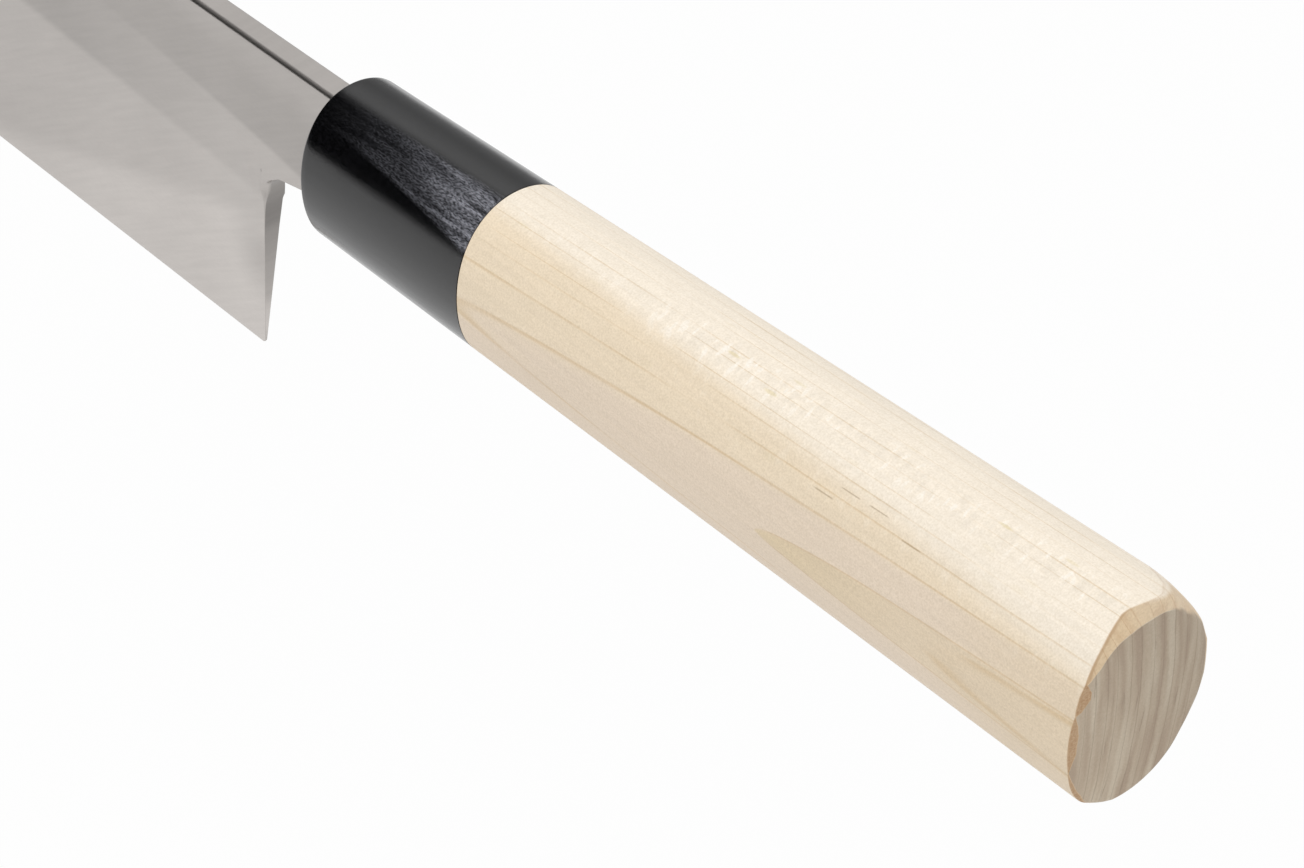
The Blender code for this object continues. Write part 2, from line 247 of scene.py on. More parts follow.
@dataclass(frozen=True)
class HandleForm:
    """The oval of ferrule and grip, which grows evenly from the front face to the butt."""

    length: float = 130.0
    ferrule_length: float = 29.8
    front_width: float = 18.6
    front_height: float = 24.1
    butt_width: float = 22.9
    butt_height: float = 30.3
    butt_rise: float = 1.8
    lean: float = 0.045
    squareness: float = 0.016
    tenon_length: float = 12.0
    wall: float = 3.0
    fit: float = 0.3
    sides: int = 360

    def angles(self) -> np.ndarray:
        """Angles round the oval from the left towards the top, with the first one again at the end."""
        return np.linspace(0, 2 * math.pi, self.sides + 1) % (2 * math.pi)

    def ring(self, x: np.ndarray | float, inset: np.ndarray | float, cut: SawCut) -> np.ndarray:
        """Closed ring of points round the handle.

        The radius is 1 + lean * sin(2a) - squareness * cos(4a), scaled to the half width and
        half height at x, and the ring is then tilted by the saw cut.

        Args:
            x: place along the handle, one value or one for each point.
            inset: how far inside the outer surface.
            cut: saw cut that the ring lies in.

        Returns:
            Array of points and coordinates.
        """
        angle = self.angles()
        radius = 1 + self.lean * np.sin(2 * angle) - self.squareness * np.cos(4 * angle)
        across = radius * np.cos(angle)
        upward = radius * np.sin(angle)
        share = -np.asarray(x) / self.length
        half_width = (self.front_width + (self.butt_width - self.front_width) * share) / 2 - inset
        half_height = (self.front_height + (self.butt_height - self.front_height) * share) / 2 - inset
        y = across / np.abs(across).max() * half_width
        z = upward / np.abs(upward).max() * half_height + self.butt_rise * share
        toward_left, upwards = cut.value
        return np.stack([x + toward_left * y + upwards * z, y, z], axis=1)

    def box_ring(self, x: float, centre: tuple[float, float], half: tuple[float, float]) -> np.ndarray:
        """Closed rectangular ring: cosine and sine over the larger of the two, times the half sizes.

        Args:
            x: place along the handle.
            centre: Y and Z of the middle.
            half: half width and half height.

        Returns:
            Array of points and coordinates.
        """
        c, s = np.cos(self.angles()), np.sin(self.angles())
        reach = np.maximum(np.abs(c), np.abs(s))
        return np.stack([np.full_like(c, x), centre[0] + half[0] * c / reach, centre[1] + half[1] * s / reach], axis=1)


@dataclass(frozen=True)
class TangForm:
    """The tang, a tapered bar of rectangular section inside the handle, and its bore."""

    length: float = 88.0
    shoulder_x: float = -7.0
    thickness_front: float = 3.2
    thickness_end: float = 2.2
    height_front: float = 10.0
    height_end: float = 6.0
    centre: tuple[float, float] = (0.75, 1.35)
    bore_grow: float = 1.6

    def half(self, x: np.ndarray | float) -> tuple[np.ndarray, np.ndarray]:
        """Half sizes of the section, which fall evenly to the end.

        Args:
            x: places along the handle.

        Returns:
            Half thickness and half height.
        """
        share = (x - self.shoulder_x) / (-self.length - self.shoulder_x)
        thick = self.thickness_front + (self.thickness_end - self.thickness_front) * share
        high = self.height_front + (self.height_end - self.height_front) * share
        return thick / 2, high / 2

    def bore_ring(self, form: HandleForm, x: float) -> np.ndarray:
        """Ring of the burned-in bore at x."""
        thick, high = self.half(x)
        return form.box_ring(x, self.centre, (thick + self.bore_grow, high + self.bore_grow))


@dataclass(frozen=True)
class SatinGroundSteel:
    """Carbon steel, ground on stones and left satin: soft reflections, faint steps between passes, painted reflection
    and shade.
    """

    face: str = "#BDB8B4"
    spine_tone: float = 0.97
    roughness: float = 0.34
    eased_roughness: float = 0.39
    grain_width: float = 0.12
    cloud_width: float = 14.0
    stroke_length: float = 9.0
    stroke_width: float = 0.8
    stroke_along: Triple = (0.829, 0.0, -0.559)
    stroke_across: Triple = (0.559, 0.0, 0.829)
    grain_stretch: Triple = (0.25, 1.0, 1.0)
    # Painted reflection, lighter near the heel, and painted shade in an oval patch beside the choil, on the left face.
    heel_slope: float = 0.33
    shade_patch_centre: Triple = (14.6, 0.0, -24.5)
    shade_patch_half: tuple[float, float] = (8.5, 9.0)
    # The wavy line between hard and soft steel on the bevel, above the edge.
    boundary_waves_per_mm: float = 0.12
    boundary_swing: float = 5.0
    boundary_low: float = 3.0
    bump_depth: float = 0.02

    def make(self) -> bpy.types.Material:
        """Build the material.

        The tone of each place comes from ramps over the blade's marks, and noise mottles it.

        Returns:
            The material.
        """
        material, node = new_material("satin_ground_carbon_steel")
        place = handle_place(node)
        above_edge, side, worn, eased = (
            node("Attribute", (), "Fac", attribute_name=mark) for mark in ("above_edge", "side", "worn", "eased")
        )
        rightness = node("MapRange", (side, -1.0, -0.4, 1.0, 0.0))
        faces = node("Mix", {0: rightness, 2: self.left_tone(node, place), 3: self.right_tone(node, place, above_edge)})
        on_rim = node("MapRange", (node("Math", (side,), operation="ABSOLUTE"), 0.5, 1.0, 1.0, 0.0))
        ground = node("Mix", {0: on_rim, 2: faces, 3: self.spine_tone})
        # Filed by hand and never polished, and darker than the faces, most of all below its curve: partly its filed
        # finish, partly painted shade and a painted reflection of the dark ferrule.
        even = node("MapRange", (above_edge, 3.0, 17.5, 0.98, 0.62))
        dip = node("MapRange", (above_edge, 17.5, 21.0, 0.0, -0.15), **SOFT)
        rise = node("MapRange", (above_edge, 22.8, 25.8, 0.0, 0.12), **SOFT)
        heel = node("MapRange", (above_edge, 8.5, 5.5, 0.0, 0.2), **SOFT)
        lower = node("Math", (even, heel), operation="ADD")
        filed = node("Math", (node("Math", (lower, dip), operation="ADD"), rise), operation="ADD")
        tone = node("Mix", {0: worn, 2: ground, 3: filed})

        # Strokes of the stone, about 0.1 mm wide in truth and drawn 0.8 mm wide so that they show.
        along = node("VectorMath", (place, self.stroke_along), "Value", operation="DOT_PRODUCT")
        across = node("VectorMath", (place, self.stroke_across), "Value", operation="DOT_PRODUCT")
        long = node("Math", (along, self.stroke_length), operation="DIVIDE")
        narrow = node("Math", (across, self.stroke_width), operation="DIVIDE")
        stroke = node("TexNoise", {"Vector": node("CombineXYZ", (long, narrow)), "Scale": 1.0, "Detail": 3.0})
        cloud = node("TexNoise", {"Vector": place, "Scale": 1 / self.cloud_width, "Detail": 4.0})
        stretched = node("Mapping", {"Vector": place, "Scale": self.grain_stretch})
        grain = node("TexNoise", {"Vector": stretched, "Scale": 0.5 / self.grain_width, "Detail": 2.0})
        stroke_tone = node("MapRange", (stroke, 0.3, 0.7, 0.97, 1.03))
        cloud_tone = node("MapRange", (cloud, 0.3, 0.7, 0.97, 1.03))
        grain_tone = node("MapRange", (grain, 0.3, 0.7, 0.975, 1.025))
        patchy = node("Math", (stroke_tone, cloud_tone), operation="MULTIPLY")
        mottle = node("Math", (patchy, grain_tone), operation="MULTIPLY")
        shade = node("Math", (tone, mottle), operation="MULTIPLY")
        grey = node("CombineColor", (shade, shade, shade))
        steel = node("Mix", {0: 1.0, 6: self.face, 7: grey}, **TIMES)
        satin = node("MapRange", (grain, 0.3, 0.7, self.roughness - 0.03, self.roughness + 0.03))
        rough = node("Mix", {0: eased, 2: satin, 3: self.eased_roughness})
        bump = node("Bump", {"Strength": 0.05, "Distance": self.bump_depth * MM, "Height": grain})
        surface = {"Base Color": steel, "Metallic": 1.0, "Roughness": rough, "Normal": bump}
        feed(material.node_tree.nodes["Principled BSDF"], surface)
        return material

    def left_tone(self, node: AddNode, place: Socket) -> Socket:
        """Tone of the flat face, ground in passes that meet along two slanting lines.

        The rim above the first line is darkest and the band between the lines darkens forwards.
        Below the second line it is lighter, and lightest near the heel and the edge, where
        z + heel_slope * x is lowest. These bands are partly the finish of the passes and partly
        painted reflection of the hollow's curve. An oval patch beside the choil is a little darker:
        painted shade.

        Args:
            node: adds a node to the material.
            place: coordinates in the handle's axes, in mm.

        Returns:
            Factor on the steel's colour.
        """
        above_first, above_second = (
            node("Attribute", (), "Fac", attribute_name=mark) for mark in ("above_first_pass", "above_second_pass")
        )
        x, _, z = node("SeparateXYZ", (place,)).node.outputs
        # Painted reflection, partly the finish of the passes: a darker rim, a band that darkens forwards, and a lighter
        # part low down and near the heel.
        rim = node("MapRange", (above_first, 8.5, 13.0, 0.83, 0.92))
        band = node("MapRange", (x, 16.0, 56.0, 1.0, 0.80))
        low = node("MapRange", (x, 16.0, 56.0, 1.07, 0.975))
        toward_heel = node("Math", (x, self.heel_slope, z), operation="MULTIPLY_ADD")
        lift = node("MapRange", (toward_heel, -10.5, -15.0, 0.0, 0.15), **SOFT)
        # Painted shade: a darker oval patch beside the choil.
        from_shade_patch = node("VectorMath", (place, self.shade_patch_centre), operation="SUBTRACT")
        patch_scale = (1 / self.shade_patch_half[0], 0.0, 1 / self.shade_patch_half[1])
        oval = node("VectorMath", (from_shade_patch, patch_scale), operation="MULTIPLY")
        off_centre = node("VectorMath", (oval,), "Value", operation="LENGTH")
        patch = node("MapRange", (off_centre, 0.0, 1.0, -0.24, 0.0), **SOFT)
        below = node("Math", (node("Math", (low, lift), operation="ADD"), patch), operation="ADD")
        over_second = node("MapRange", (above_second, -0.9, 0.9, 0.0, 1.0), **SOFT)
        over_first = node("MapRange", (above_first, -0.6, 0.6, 0.0, 1.0), **SOFT)
        return node("Mix", {0: over_first, 2: node("Mix", {0: over_second, 2: below, 3: band}), 3: rim})

    def right_tone(self, node: AddNode, place: Socket, above_edge: Socket) -> Socket:
        """Tone of the bevelled side: hazy soft steel, and bright hard steel below a wavy line.

        Args:
            node: adds a node to the material.
            place: coordinates in the handle's axes, in mm.
            above_edge: height above the edge, in mm.

        Returns:
            Factor on the steel's colour.
        """
        wave = node("TexNoise", {"Vector": place, "Scale": self.boundary_waves_per_mm, "Detail": 3.0})
        line = node("Math", (wave, self.boundary_swing, self.boundary_low), operation="MULTIPLY_ADD")
        above_line = node("Math", (above_edge, line), operation="SUBTRACT")
        bevel = node("MapRange", (above_line, -0.4, 0.4, 1.12, 0.9))
        above_ridge = node("Attribute", (), "Fac", attribute_name="above_ridge")
        upper = node("MapRange", (above_ridge, -0.05, 0.05, 0.0, 1.0))
        return node("Mix", {0: upper, 2: bevel, 3: 0.97})


@dataclass(frozen=True)
class BlackLaminatedWood:
    """Dyed and resin-pressed wood, polished: near black and glossy, with pale fibre flecks in it that are a painted
    highlight.
    """

    base: str = "#030304"
    pore: str = "#141417"
    # Colour of the painted fibre highlight.
    fleck: str = "#A5A6AF"
    roughness: float = 0.165
    fleck_length: float = 0.5
    fleck_width: float = 0.13
    streak_length: float = 9.0
    streak_width: float = 0.7
    bump_depth: float = 0.02
    ior: float = 1.62

    def make(self) -> bpy.types.Material:
        """Build the material.

        Flecks are noise stretched along the fibres, stronger along some streaks. They are a painted
        highlight, the fibres' sheen where the light catches them, and show only in a band round the
        ferrule, by their mark. The resin, not the wood, sets the IOR.

        Returns:
            The material.
        """
        material, node = new_material("black_resin_pressed_wood")
        place = handle_place(node)
        fleck_scale = (1 / self.fleck_length, 1 / self.fleck_width, 1 / self.fleck_width)
        streak_scale = (1 / self.streak_length, 1 / self.streak_width, 1 / self.streak_width)
        fleck_place = node("Mapping", {"Vector": place, "Scale": fleck_scale})
        streak_place = node("Mapping", {"Vector": place, "Scale": streak_scale})
        fleck = node("TexNoise", {"Vector": fleck_place, "Scale": 1.0, "Detail": 2.0, "Roughness": 0.6})
        streak = node("TexNoise", {"Vector": streak_place, "Scale": 1.0, "Detail": 2.0})
        # Painted highlight: the fibres' sheen, pale flecks in a band round the ferrule.
        figure = node("Attribute", (), "Fac", attribute_name="figure")
        bright = node("MapRange", (fleck, 0.38, 0.64, 0.12, 1.0))
        streaky = node("MapRange", (streak, 0.32, 0.68, 0.35, 1.45))
        shown = node("Math", (figure, bright), operation="MULTIPLY")
        amount = node("Math", (shown, streaky), operation="MULTIPLY", use_clamp=True)
        porous = node("MapRange", (fleck, 0.45, 0.7, 0.0, 1.0))
        ground = node("Mix", {0: porous, 6: self.base, 7: self.pore}, **TINT)
        colour = node("Mix", {0: amount, 6: ground, 7: self.fleck}, **TINT)
        bump = node("Bump", {"Strength": 0.5, "Distance": self.bump_depth * MM, "Height": fleck})
        rough = node("MapRange", (streak, 0.3, 0.7, self.roughness - 0.04, self.roughness + 0.06))
        surface = {"Base Color": colour, "Roughness": rough, "Normal": bump, "IOR": self.ior}
        feed(material.node_tree.nodes["Principled BSDF"], surface)
        return material


@dataclass(frozen=True)
class BareMagnolia:
    """Magnolia, sanded fine and left bare: pale cream, thin golden growth rings, grey end grain."""

    pale: str = "#F5EAD9"
    golden: str = "#ECDBC1"
    rosy: str = "#E7D6C1"
    yellow: str = "#E1CEAE"
    ring: str = "#D2B587"
    dash: str = "#A48861"
    # Pale ray patches, partly painted sheen.
    fleck: str = "#FBF5EB"
    stain: str = "#DCCB93"
    end_light: str = "#C2B49F"
    end: str = "#B4A38D"
    end_brown: str = "#A28D78"
    end_ring: str = "#86725D"
    sanded: str = "#DCC4A2"
    scuffed: str = "#C2A07A"
    crushed: str = "#AE8963"
    roughness: float = 0.55
    bump_depth: float = 0.02
    ior: float = 1.45
    # Repeats of each noise per mm along the grain, and across it to the left and upwards.
    warp_scale: Triple = (0.012, 0.08, 0.08)
    fade_scale: Triple = (0.06, 0.3, 0.3)
    fibre_scale: Triple = (0.08, 1.4, 1.4)
    spot_scale: Triple = (0.07, 0.3, 0.0)
    # Factors on red, green and blue in the darkest and the palest specks.
    speck_low: Triple = (0.925, 0.91, 0.88)
    speck_high: Triple = (1.075, 1.08, 1.095)
    # The pith and the rings round it, which follow the grain along X.
    across_grain: Triple = (0.0, 1.0, 1.0)
    pith: Triple = (0.0, 75.0, -4.0)
    run_out: float = 0.009
    ring_spacing: float = 1.8
    ring_start: float = 65.7
    heart_radius: float = 65.1
    speckle_width: float = 0.25
    ray_pitch: float = 0.9
    ray_height: float = 2.4
    ray_band_y: float = 3.4
    crest_x: float = -81.0
    crest_z: float = -0.5
    crest_up: float = 0.95
    crest_down: float = 0.36
    # X of each dash and its distance from the pith.
    dashes: tuple[tuple[float, float], ...] = ((-92.9, 67.77), (-97.2, 67.8), (-89.7, 66.55), (-102.8, 66.83))
    dash_half_length: float = 1.7
    dash_half_width: float = 0.05

    def make(self) -> bpy.types.Material:
        """Build the material.

        Growth rings are cylinders round a pith that lies to the left of the handle: distance
        from the pith, slanted a little along the handle and drawn off line by noise, over the
        ring spacing, with a thin dark line at the end of each ring. Specks take more blue than
        red away, so the darker ones are warmer.

        Returns:
            The material.
        """
        material, node = new_material("bare_sanded_magnolia")
        place = handle_place(node)
        chamfer, end_grain, crushed = (
            node("Attribute", (), "Fac", attribute_name=mark) for mark in ("chamfer", "end_grain", "crushed")
        )
        from_pith = node("VectorMath", (place, self.pith), operation="SUBTRACT")
        across = node("VectorMath", (from_pith, self.across_grain), operation="MULTIPLY")
        radius = node("VectorMath", (across,), "Value", operation="LENGTH")
        x = node("SeparateXYZ", (place,))
        slanted = node("Math", (x, self.run_out, radius), operation="MULTIPLY_ADD")
        warp_place = node("Mapping", {"Vector": place, "Scale": self.warp_scale})
        warp = node("Math", (node("TexNoise", {"Vector": warp_place, "Scale": 1.0}), 0.5), operation="SUBTRACT")
        warped = node("Math", (warp, 0.9, slanted), operation="MULTIPLY_ADD")
        uneven_place = node("Math", (slanted, 0.35), operation="MULTIPLY")
        uneven = node("TexNoise", {"W": uneven_place, "Scale": 1.0}, noise_dimensions="1D")
        spaced = node("Math", (uneven, 1.2, warped), operation="MULTIPLY_ADD")
        past_start = node("Math", (spaced, self.ring_start), operation="SUBTRACT")
        phase = node("Math", (node("Math", (past_start, self.ring_spacing), operation="DIVIDE"),), operation="FRACT")
        rise = node("MapRange", (phase, 0.88, 0.95, 0.0, 1.0), **SOFT)
        line = node("Math", (rise, node("MapRange", (phase, 0.96, 1.0, 1.0, 0.0), **SOFT)), operation="MULTIPLY")

        # Pores and fibre ends are about 0.1 mm across and drawn 0.25 mm across so that they show.
        speckle = node("TexNoise", {"Vector": place, "Scale": 1 / self.speckle_width, "Detail": 3.0})
        specks = {6: speckle, 7: (0.3,) * 3, 8: (0.7,) * 3, 9: self.speck_low, 10: self.speck_high}
        speck = node("MapRange", specks, 1, data_type="FLOAT_VECTOR")
        along_grain = self.side_colour(node, place, slanted, warp, warped, line)
        side = node("Mix", {0: 1.0, 6: along_grain, 7: speck}, **TIMES)
        end = node("Mix", {0: 1.0, 6: self.end_colour(node, place, warped, line), 7: speck}, **TIMES)
        # The coarse paper left the chamfer darker in places.
        scuff_noise = node("TexNoise", {"Vector": place, "Scale": 0.7, "Detail": 2.0})
        scuff = node("MapRange", (scuff_noise, 0.42, 0.66, 0.0, 0.4), **SOFT)
        scuffed = node("Mix", {0: scuff, 6: self.sanded, 7: self.scuffed}, **TINT)
        lined = node("Mix", {0: node("Math", (line, 0.5), operation="MULTIPLY"), 6: scuffed, 7: self.scuffed}, **TINT)
        sanded = node("Mix", {0: 1.0, 6: lined, 7: speck}, **TIMES)
        bruise = node("MapRange", (speckle, 0.35, 0.65, 0.65, 1.0))
        bruised = node("Mix", {0: bruise, 6: self.sanded, 7: self.crushed}, **TINT)
        chamfered = node("Mix", {0: chamfer, 6: side, 7: sanded}, **TINT)
        ended = node("Mix", {0: end_grain, 6: chamfered, 7: end}, **TINT)
        colour = node("Mix", {0: crushed, 6: ended, 7: bruised}, **TINT)
        bump = node("Bump", {"Strength": 0.4, "Distance": self.bump_depth * MM, "Height": speckle})
        rough = node("MapRange", (speckle, 0.3, 0.7, self.roughness - 0.04, self.roughness + 0.04))
        surface = {"Base Color": colour, "Roughness": rough, "Normal": bump, "IOR": self.ior}
        feed(material.node_tree.nodes["Principled BSDF"], surface)
        return material

    def side_colour(
        self, node: AddNode, place: Socket, slanted: Socket, warp: Socket, warped: Socket, line: Socket
    ) -> Socket:
        """Colour along the grain: zones, growth lines that fade in and out, fibres, rays and dashes.

        Args:
            node: adds a node to the material.
            place: coordinates in the handle's axes, in mm.
            slanted: distance from the pith without noise, in mm.
            warp: slow noise round 0.
            warped: distance from the pith with that noise, in mm.
            line: 1 on the growth lines.

        Returns:
            The colour.
        """
        fade_place = node("Mapping", {"Vector": place, "Scale": self.fade_scale})
        fade = node("TexNoise", {"Vector": fade_place, "Scale": 1.0})
        strength = node("MapRange", (fade, 0.35, 0.65, 0.08, 0.5), **SOFT)
        faded = node("Math", (line, strength), operation="MULTIPLY")
        lined = node("Mix", {0: faded, 6: self.zone_colour(node, place, warp, warped), 7: self.ring}, **TINT)
        fibre_place = node("Mapping", {"Vector": place, "Scale": self.fibre_scale})
        fibre = node("TexNoise", {"Vector": fibre_place, "Scale": 1.0, "Detail": 3.0})
        fibre_tone = node("MapRange", (fibre, 0.3, 0.7, 0.97, 1.03))
        return self.dash_colour(node, place, slanted, self.ray_colour(node, place, warp, fibre_tone, lined))

    def zone_colour(self, node: AddNode, place: Socket, warp: Socket, warped: Socket) -> Socket:
        """Colour of the wood's zones: rosy heart side, golden middle and pale top, and their borders.

        One ring comes to the surface low on the left in a crest. Behind it, at a distance u,
        the yellow wood inside the ring reaches crest_up * sqrt(u) up and crest_down * sqrt(u) down.

        Args:
            node: adds a node to the material.
            place: coordinates in the handle's axes, in mm.
            warp: slow noise round 0.
            warped: distance from the pith with that noise, in mm.

        Returns:
            The colour.
        """
        x, y, z = node("SeparateXYZ", (place,)).node.outputs
        # The golden wood reaches farther round near the ferrule than near the butt.
        turned = node("Math", (x, -0.07, warped), operation="MULTIPLY_ADD")
        paler = node("MapRange", (turned, 73.0, 76.4, 0.0, 1.0), **SOFT)
        upper = node("Mix", {0: paler, 6: self.golden, 7: self.pale}, **TINT)
        heart = node("MapRange", (warped, self.heart_radius - 0.4, self.heart_radius + 0.3, 1.0, 0.0), **SOFT)
        # By height alone, the wood is also rosier and darker below the middle.
        under = node("MapRange", (z, 0.5, -2.5, 0.0, 1.0), **SOFT)
        lower = node("Math", (heart, under), operation="MAXIMUM")
        behind = node("Math", (self.crest_x, x), operation="SUBTRACT")
        reach = node("Math", (node("Math", (behind, 0.0), operation="MAXIMUM"),), operation="SQRT")
        middle_slope, half_slope = (self.crest_up - self.crest_down) / 2, (self.crest_up + self.crest_down) / 2
        middle = node("Math", (reach, middle_slope, self.crest_z), operation="MULTIPLY_ADD")
        bent = node("Math", (warp, 1.5, z), operation="MULTIPLY_ADD")
        off_middle = node("Math", (node("Math", (bent, middle), operation="SUBTRACT"),), operation="ABSOLUTE")
        outside = node("Math", (reach, -half_slope, off_middle), operation="MULTIPLY_ADD")
        on_left = node("MapRange", (y, 3.0, 6.0, 0.0, 1.0), **SOFT)
        inside = node("MapRange", (outside, -0.3, 0.15, 1.0, 0.0), **SOFT)
        in_crest = node("Math", (inside, on_left), operation="MULTIPLY")
        amount = node("Math", (in_crest, node("MapRange", (behind, 6.0, 24.0, 1.0, 0.55))), operation="MULTIPLY")
        by_butt = node("MapRange", (x, -106.0, -124.0, 0.0, 0.4), **SOFT)
        yellowed = node("Math", (amount, by_butt), operation="MAXIMUM")
        low_colour = node("Mix", {0: yellowed, 6: self.rosy, 7: self.yellow}, **TINT)
        zoned = node("Mix", {0: lower, 6: upper, 7: low_colour}, **TINT)
        off_border = node("Math", (outside,), operation="ABSOLUTE")
        border_line = node("MapRange", (off_border, 0.03, 0.2, 0.5, 0.0), **SOFT)
        border = node("Math", (border_line, on_left), operation="MULTIPLY")
        bordered = node("Math", (border, node("MapRange", (behind, 0.5, 3.0, 0.0, 1.0))), operation="MULTIPLY")
        from_heart = node("Math", (warped, self.heart_radius), operation="SUBTRACT")
        off_heart = node("Math", (from_heart,), operation="ABSOLUTE")
        heart_line = node("MapRange", (off_heart, 0.02, 0.11, 0.38, 0.0), **SOFT)
        above_pith = node("MapRange", (z, -3.0, 0.0, 0.0, 1.0), **SOFT)
        upper_line = node("Math", (heart_line, above_pith), operation="MULTIPLY")
        shown_line = node("Math", (upper_line, node("MapRange", (x, -40.0, -62.0, 0.2, 1.0))), operation="MULTIPLY")
        drawn = node("Math", (bordered, shown_line), operation="MAXIMUM")
        return node("Mix", {0: drawn, 6: zoned, 7: self.ring}, **TINT)

    def ray_colour(self, node: AddNode, place: Socket, warp: Socket, fibre_tone: Socket, lined: Socket) -> Socket:
        """Colour with the rays, which are cut nearly flat in a band on top.

        They show there as short soft strokes across the grain, as light patches that are partly painted sheen, and as a
        few stains.

        Args:
            node: adds a node to the material.
            place: coordinates in the handle's axes, in mm.
            warp: slow noise round 0.
            fibre_tone: factor of the fibres on the colour.
            lined: colour of the wood and its growth lines.

        Returns:
            The colour.
        """
        x, y, z = node("SeparateXYZ", (place,)).node.outputs
        ray_scale = (1 / self.ray_pitch, 1 / self.ray_height, 1 / self.ray_height)
        ray_place = node("Mapping", {"Vector": place, "Scale": ray_scale})
        ray = node("TexNoise", {"Vector": ray_place, "Scale": 1.0, "Detail": 1.0})
        band_y = node("Math", (warp, 4.0, y), operation="MULTIPLY_ADD")
        off_band = node("Math", (node("Math", (band_y, self.ray_band_y), operation="SUBTRACT"),), operation="ABSOLUTE")
        in_band = node("MapRange", (off_band, 0.6, 2.4, 1.0, 0.15), **SOFT)
        along = node("MapRange", (x, -50.0, -68.0, 0.35, 1.15), **SOFT)
        banded = node("Math", (in_band, along), operation="MULTIPLY")
        on_top = node("Math", (banded, node("MapRange", (z, 7.0, 10.0, 0.0, 1.0))), operation="MULTIPLY")
        ray_swing = node("MapRange", (ray, 0.3, 0.7, -0.05, 0.05))
        ray_tone = node("Math", (ray_swing, on_top, fibre_tone), operation="MULTIPLY_ADD")
        grey = node("CombineColor", (ray_tone, ray_tone, ray_tone))
        striped = node("Mix", {0: 1.0, 6: lined, 7: grey}, **TIMES)
        # Light patches of the rays: partly their paler colour, partly painted sheen.
        patch = node("MapRange", (ray, 0.58, 0.68, 0.0, 0.55), **SOFT)
        shining = node("Math", (patch, on_top), operation="MULTIPLY")
        patched = node("Mix", {0: shining, 6: striped, 7: self.fleck}, **TINT)
        spot_place = node("Mapping", {"Vector": place, "Scale": self.spot_scale})
        spot = node("TexVoronoi", {"Vector": spot_place, "Scale": 1.0}, voronoi_dimensions="2D")
        spotted = node("Math", (node("MapRange", (spot, 0.04, 0.09, 0.4, 0.0), **SOFT), on_top), operation="MULTIPLY")
        return node("Mix", {0: spotted, 6: patched, 7: self.stain}, **TINT)

    def dash_colour(self, node: AddNode, place: Socket, slanted: Socket, colour: Socket) -> Socket:
        """Colour with a few short dark dashes along the grain, on the handle's upper half.

        Args:
            node: adds a node to the material.
            place: coordinates in the handle's axes, in mm.
            slanted: distance from the pith without noise, in mm.
            colour: colour of the wood without them.

        Returns:
            The colour.
        """
        x, _, z = node("SeparateXYZ", (place,)).node.outputs
        on_upper_half = node("MapRange", (z, 4.0, 6.0, 0.0, 1.0))
        for dash_x, dash_radius in self.dashes:
            off_x = node("Math", (node("Math", (x, dash_x), operation="SUBTRACT"),), operation="ABSOLUTE")
            off_line = node("Math", (node("Math", (slanted, dash_radius), operation="SUBTRACT"),), operation="ABSOLUTE")
            near_x = node("MapRange", (off_x, 0.6 * self.dash_half_length, self.dash_half_length, 0.6, 0.0), **SOFT)
            near_line = node("MapRange", (off_line, 0.0, 2 * self.dash_half_width, 1.0, 0.0), **SOFT)
            here = node("Math", (near_x, near_line), operation="MULTIPLY")
            shown = node("Math", (here, on_upper_half), operation="MULTIPLY")
            colour = node("Mix", {0: shown, 6: colour, 7: self.dash}, **TINT)
        return colour

    def end_colour(self, node: AddNode, place: Socket, warped: Socket, line: Socket) -> Socket:
        """Colour of the end grain: greyer, with soft bands along the rings and thin dark lines.

        Args:
            node: adds a node to the material.
            place: coordinates in the handle's axes, in mm.
            warped: distance from the pith, in mm.
            line: 1 on the growth lines.

        Returns:
            The colour.
        """
        _, y, z = node("SeparateXYZ", (place,)).node.outputs
        wave = node("TexNoise", {"Vector": place, "Scale": 0.5})
        wavy = node("Math", (wave, 0.5, warped), operation="MULTIPLY_ADD")
        across_rings = node("Math", (wavy, 0.6), operation="MULTIPLY")
        along_rings = node("Math", (z, 0.05), operation="MULTIPLY")
        band_place = node("CombineXYZ", (across_rings, along_rings))
        band = node("TexNoise", {"Vector": band_place, "Scale": 1.0, "Detail": 1.0})
        fine = node("TexNoise", {"Vector": band_place, "Scale": 3.2, "Detail": 2.0})
        light = node("MapRange", (band, 0.45, 0.7, 0.0, 1.0), **SOFT)
        brown = node("MapRange", (band, 0.5, 0.32, 0.0, 0.7), **SOFT)
        lighter = node("Mix", {0: light, 6: self.end, 7: self.end_light}, **TINT)
        banded = node("Mix", {0: brown, 6: lighter, 7: self.end_brown}, **TINT)
        fine_tone = node("MapRange", (fine, 0.3, 0.7, 0.965, 1.035))
        # It is darker towards the top and the right.
        lean = node("Math", (z, -0.5, y), operation="MULTIPLY_ADD")
        shaded = node("Math", (fine_tone, node("MapRange", (lean, -16.0, 14.0, 0.88, 1.07))), operation="MULTIPLY")
        grey = node("CombineColor", (shaded, shaded, shaded))
        streaked = node("Mix", {0: 1.0, 6: banded, 7: grey}, **TIMES)
        thin = node("MapRange", (fine, 0.36, 0.26, 0.0, 0.5), **SOFT)
        dark = node("Math", (thin, node("Math", (line, 0.45), operation="MULTIPLY")), operation="MAXIMUM")
        return node("Mix", {0: dark, 6: streaked, 7: self.end_ring}, **TINT)


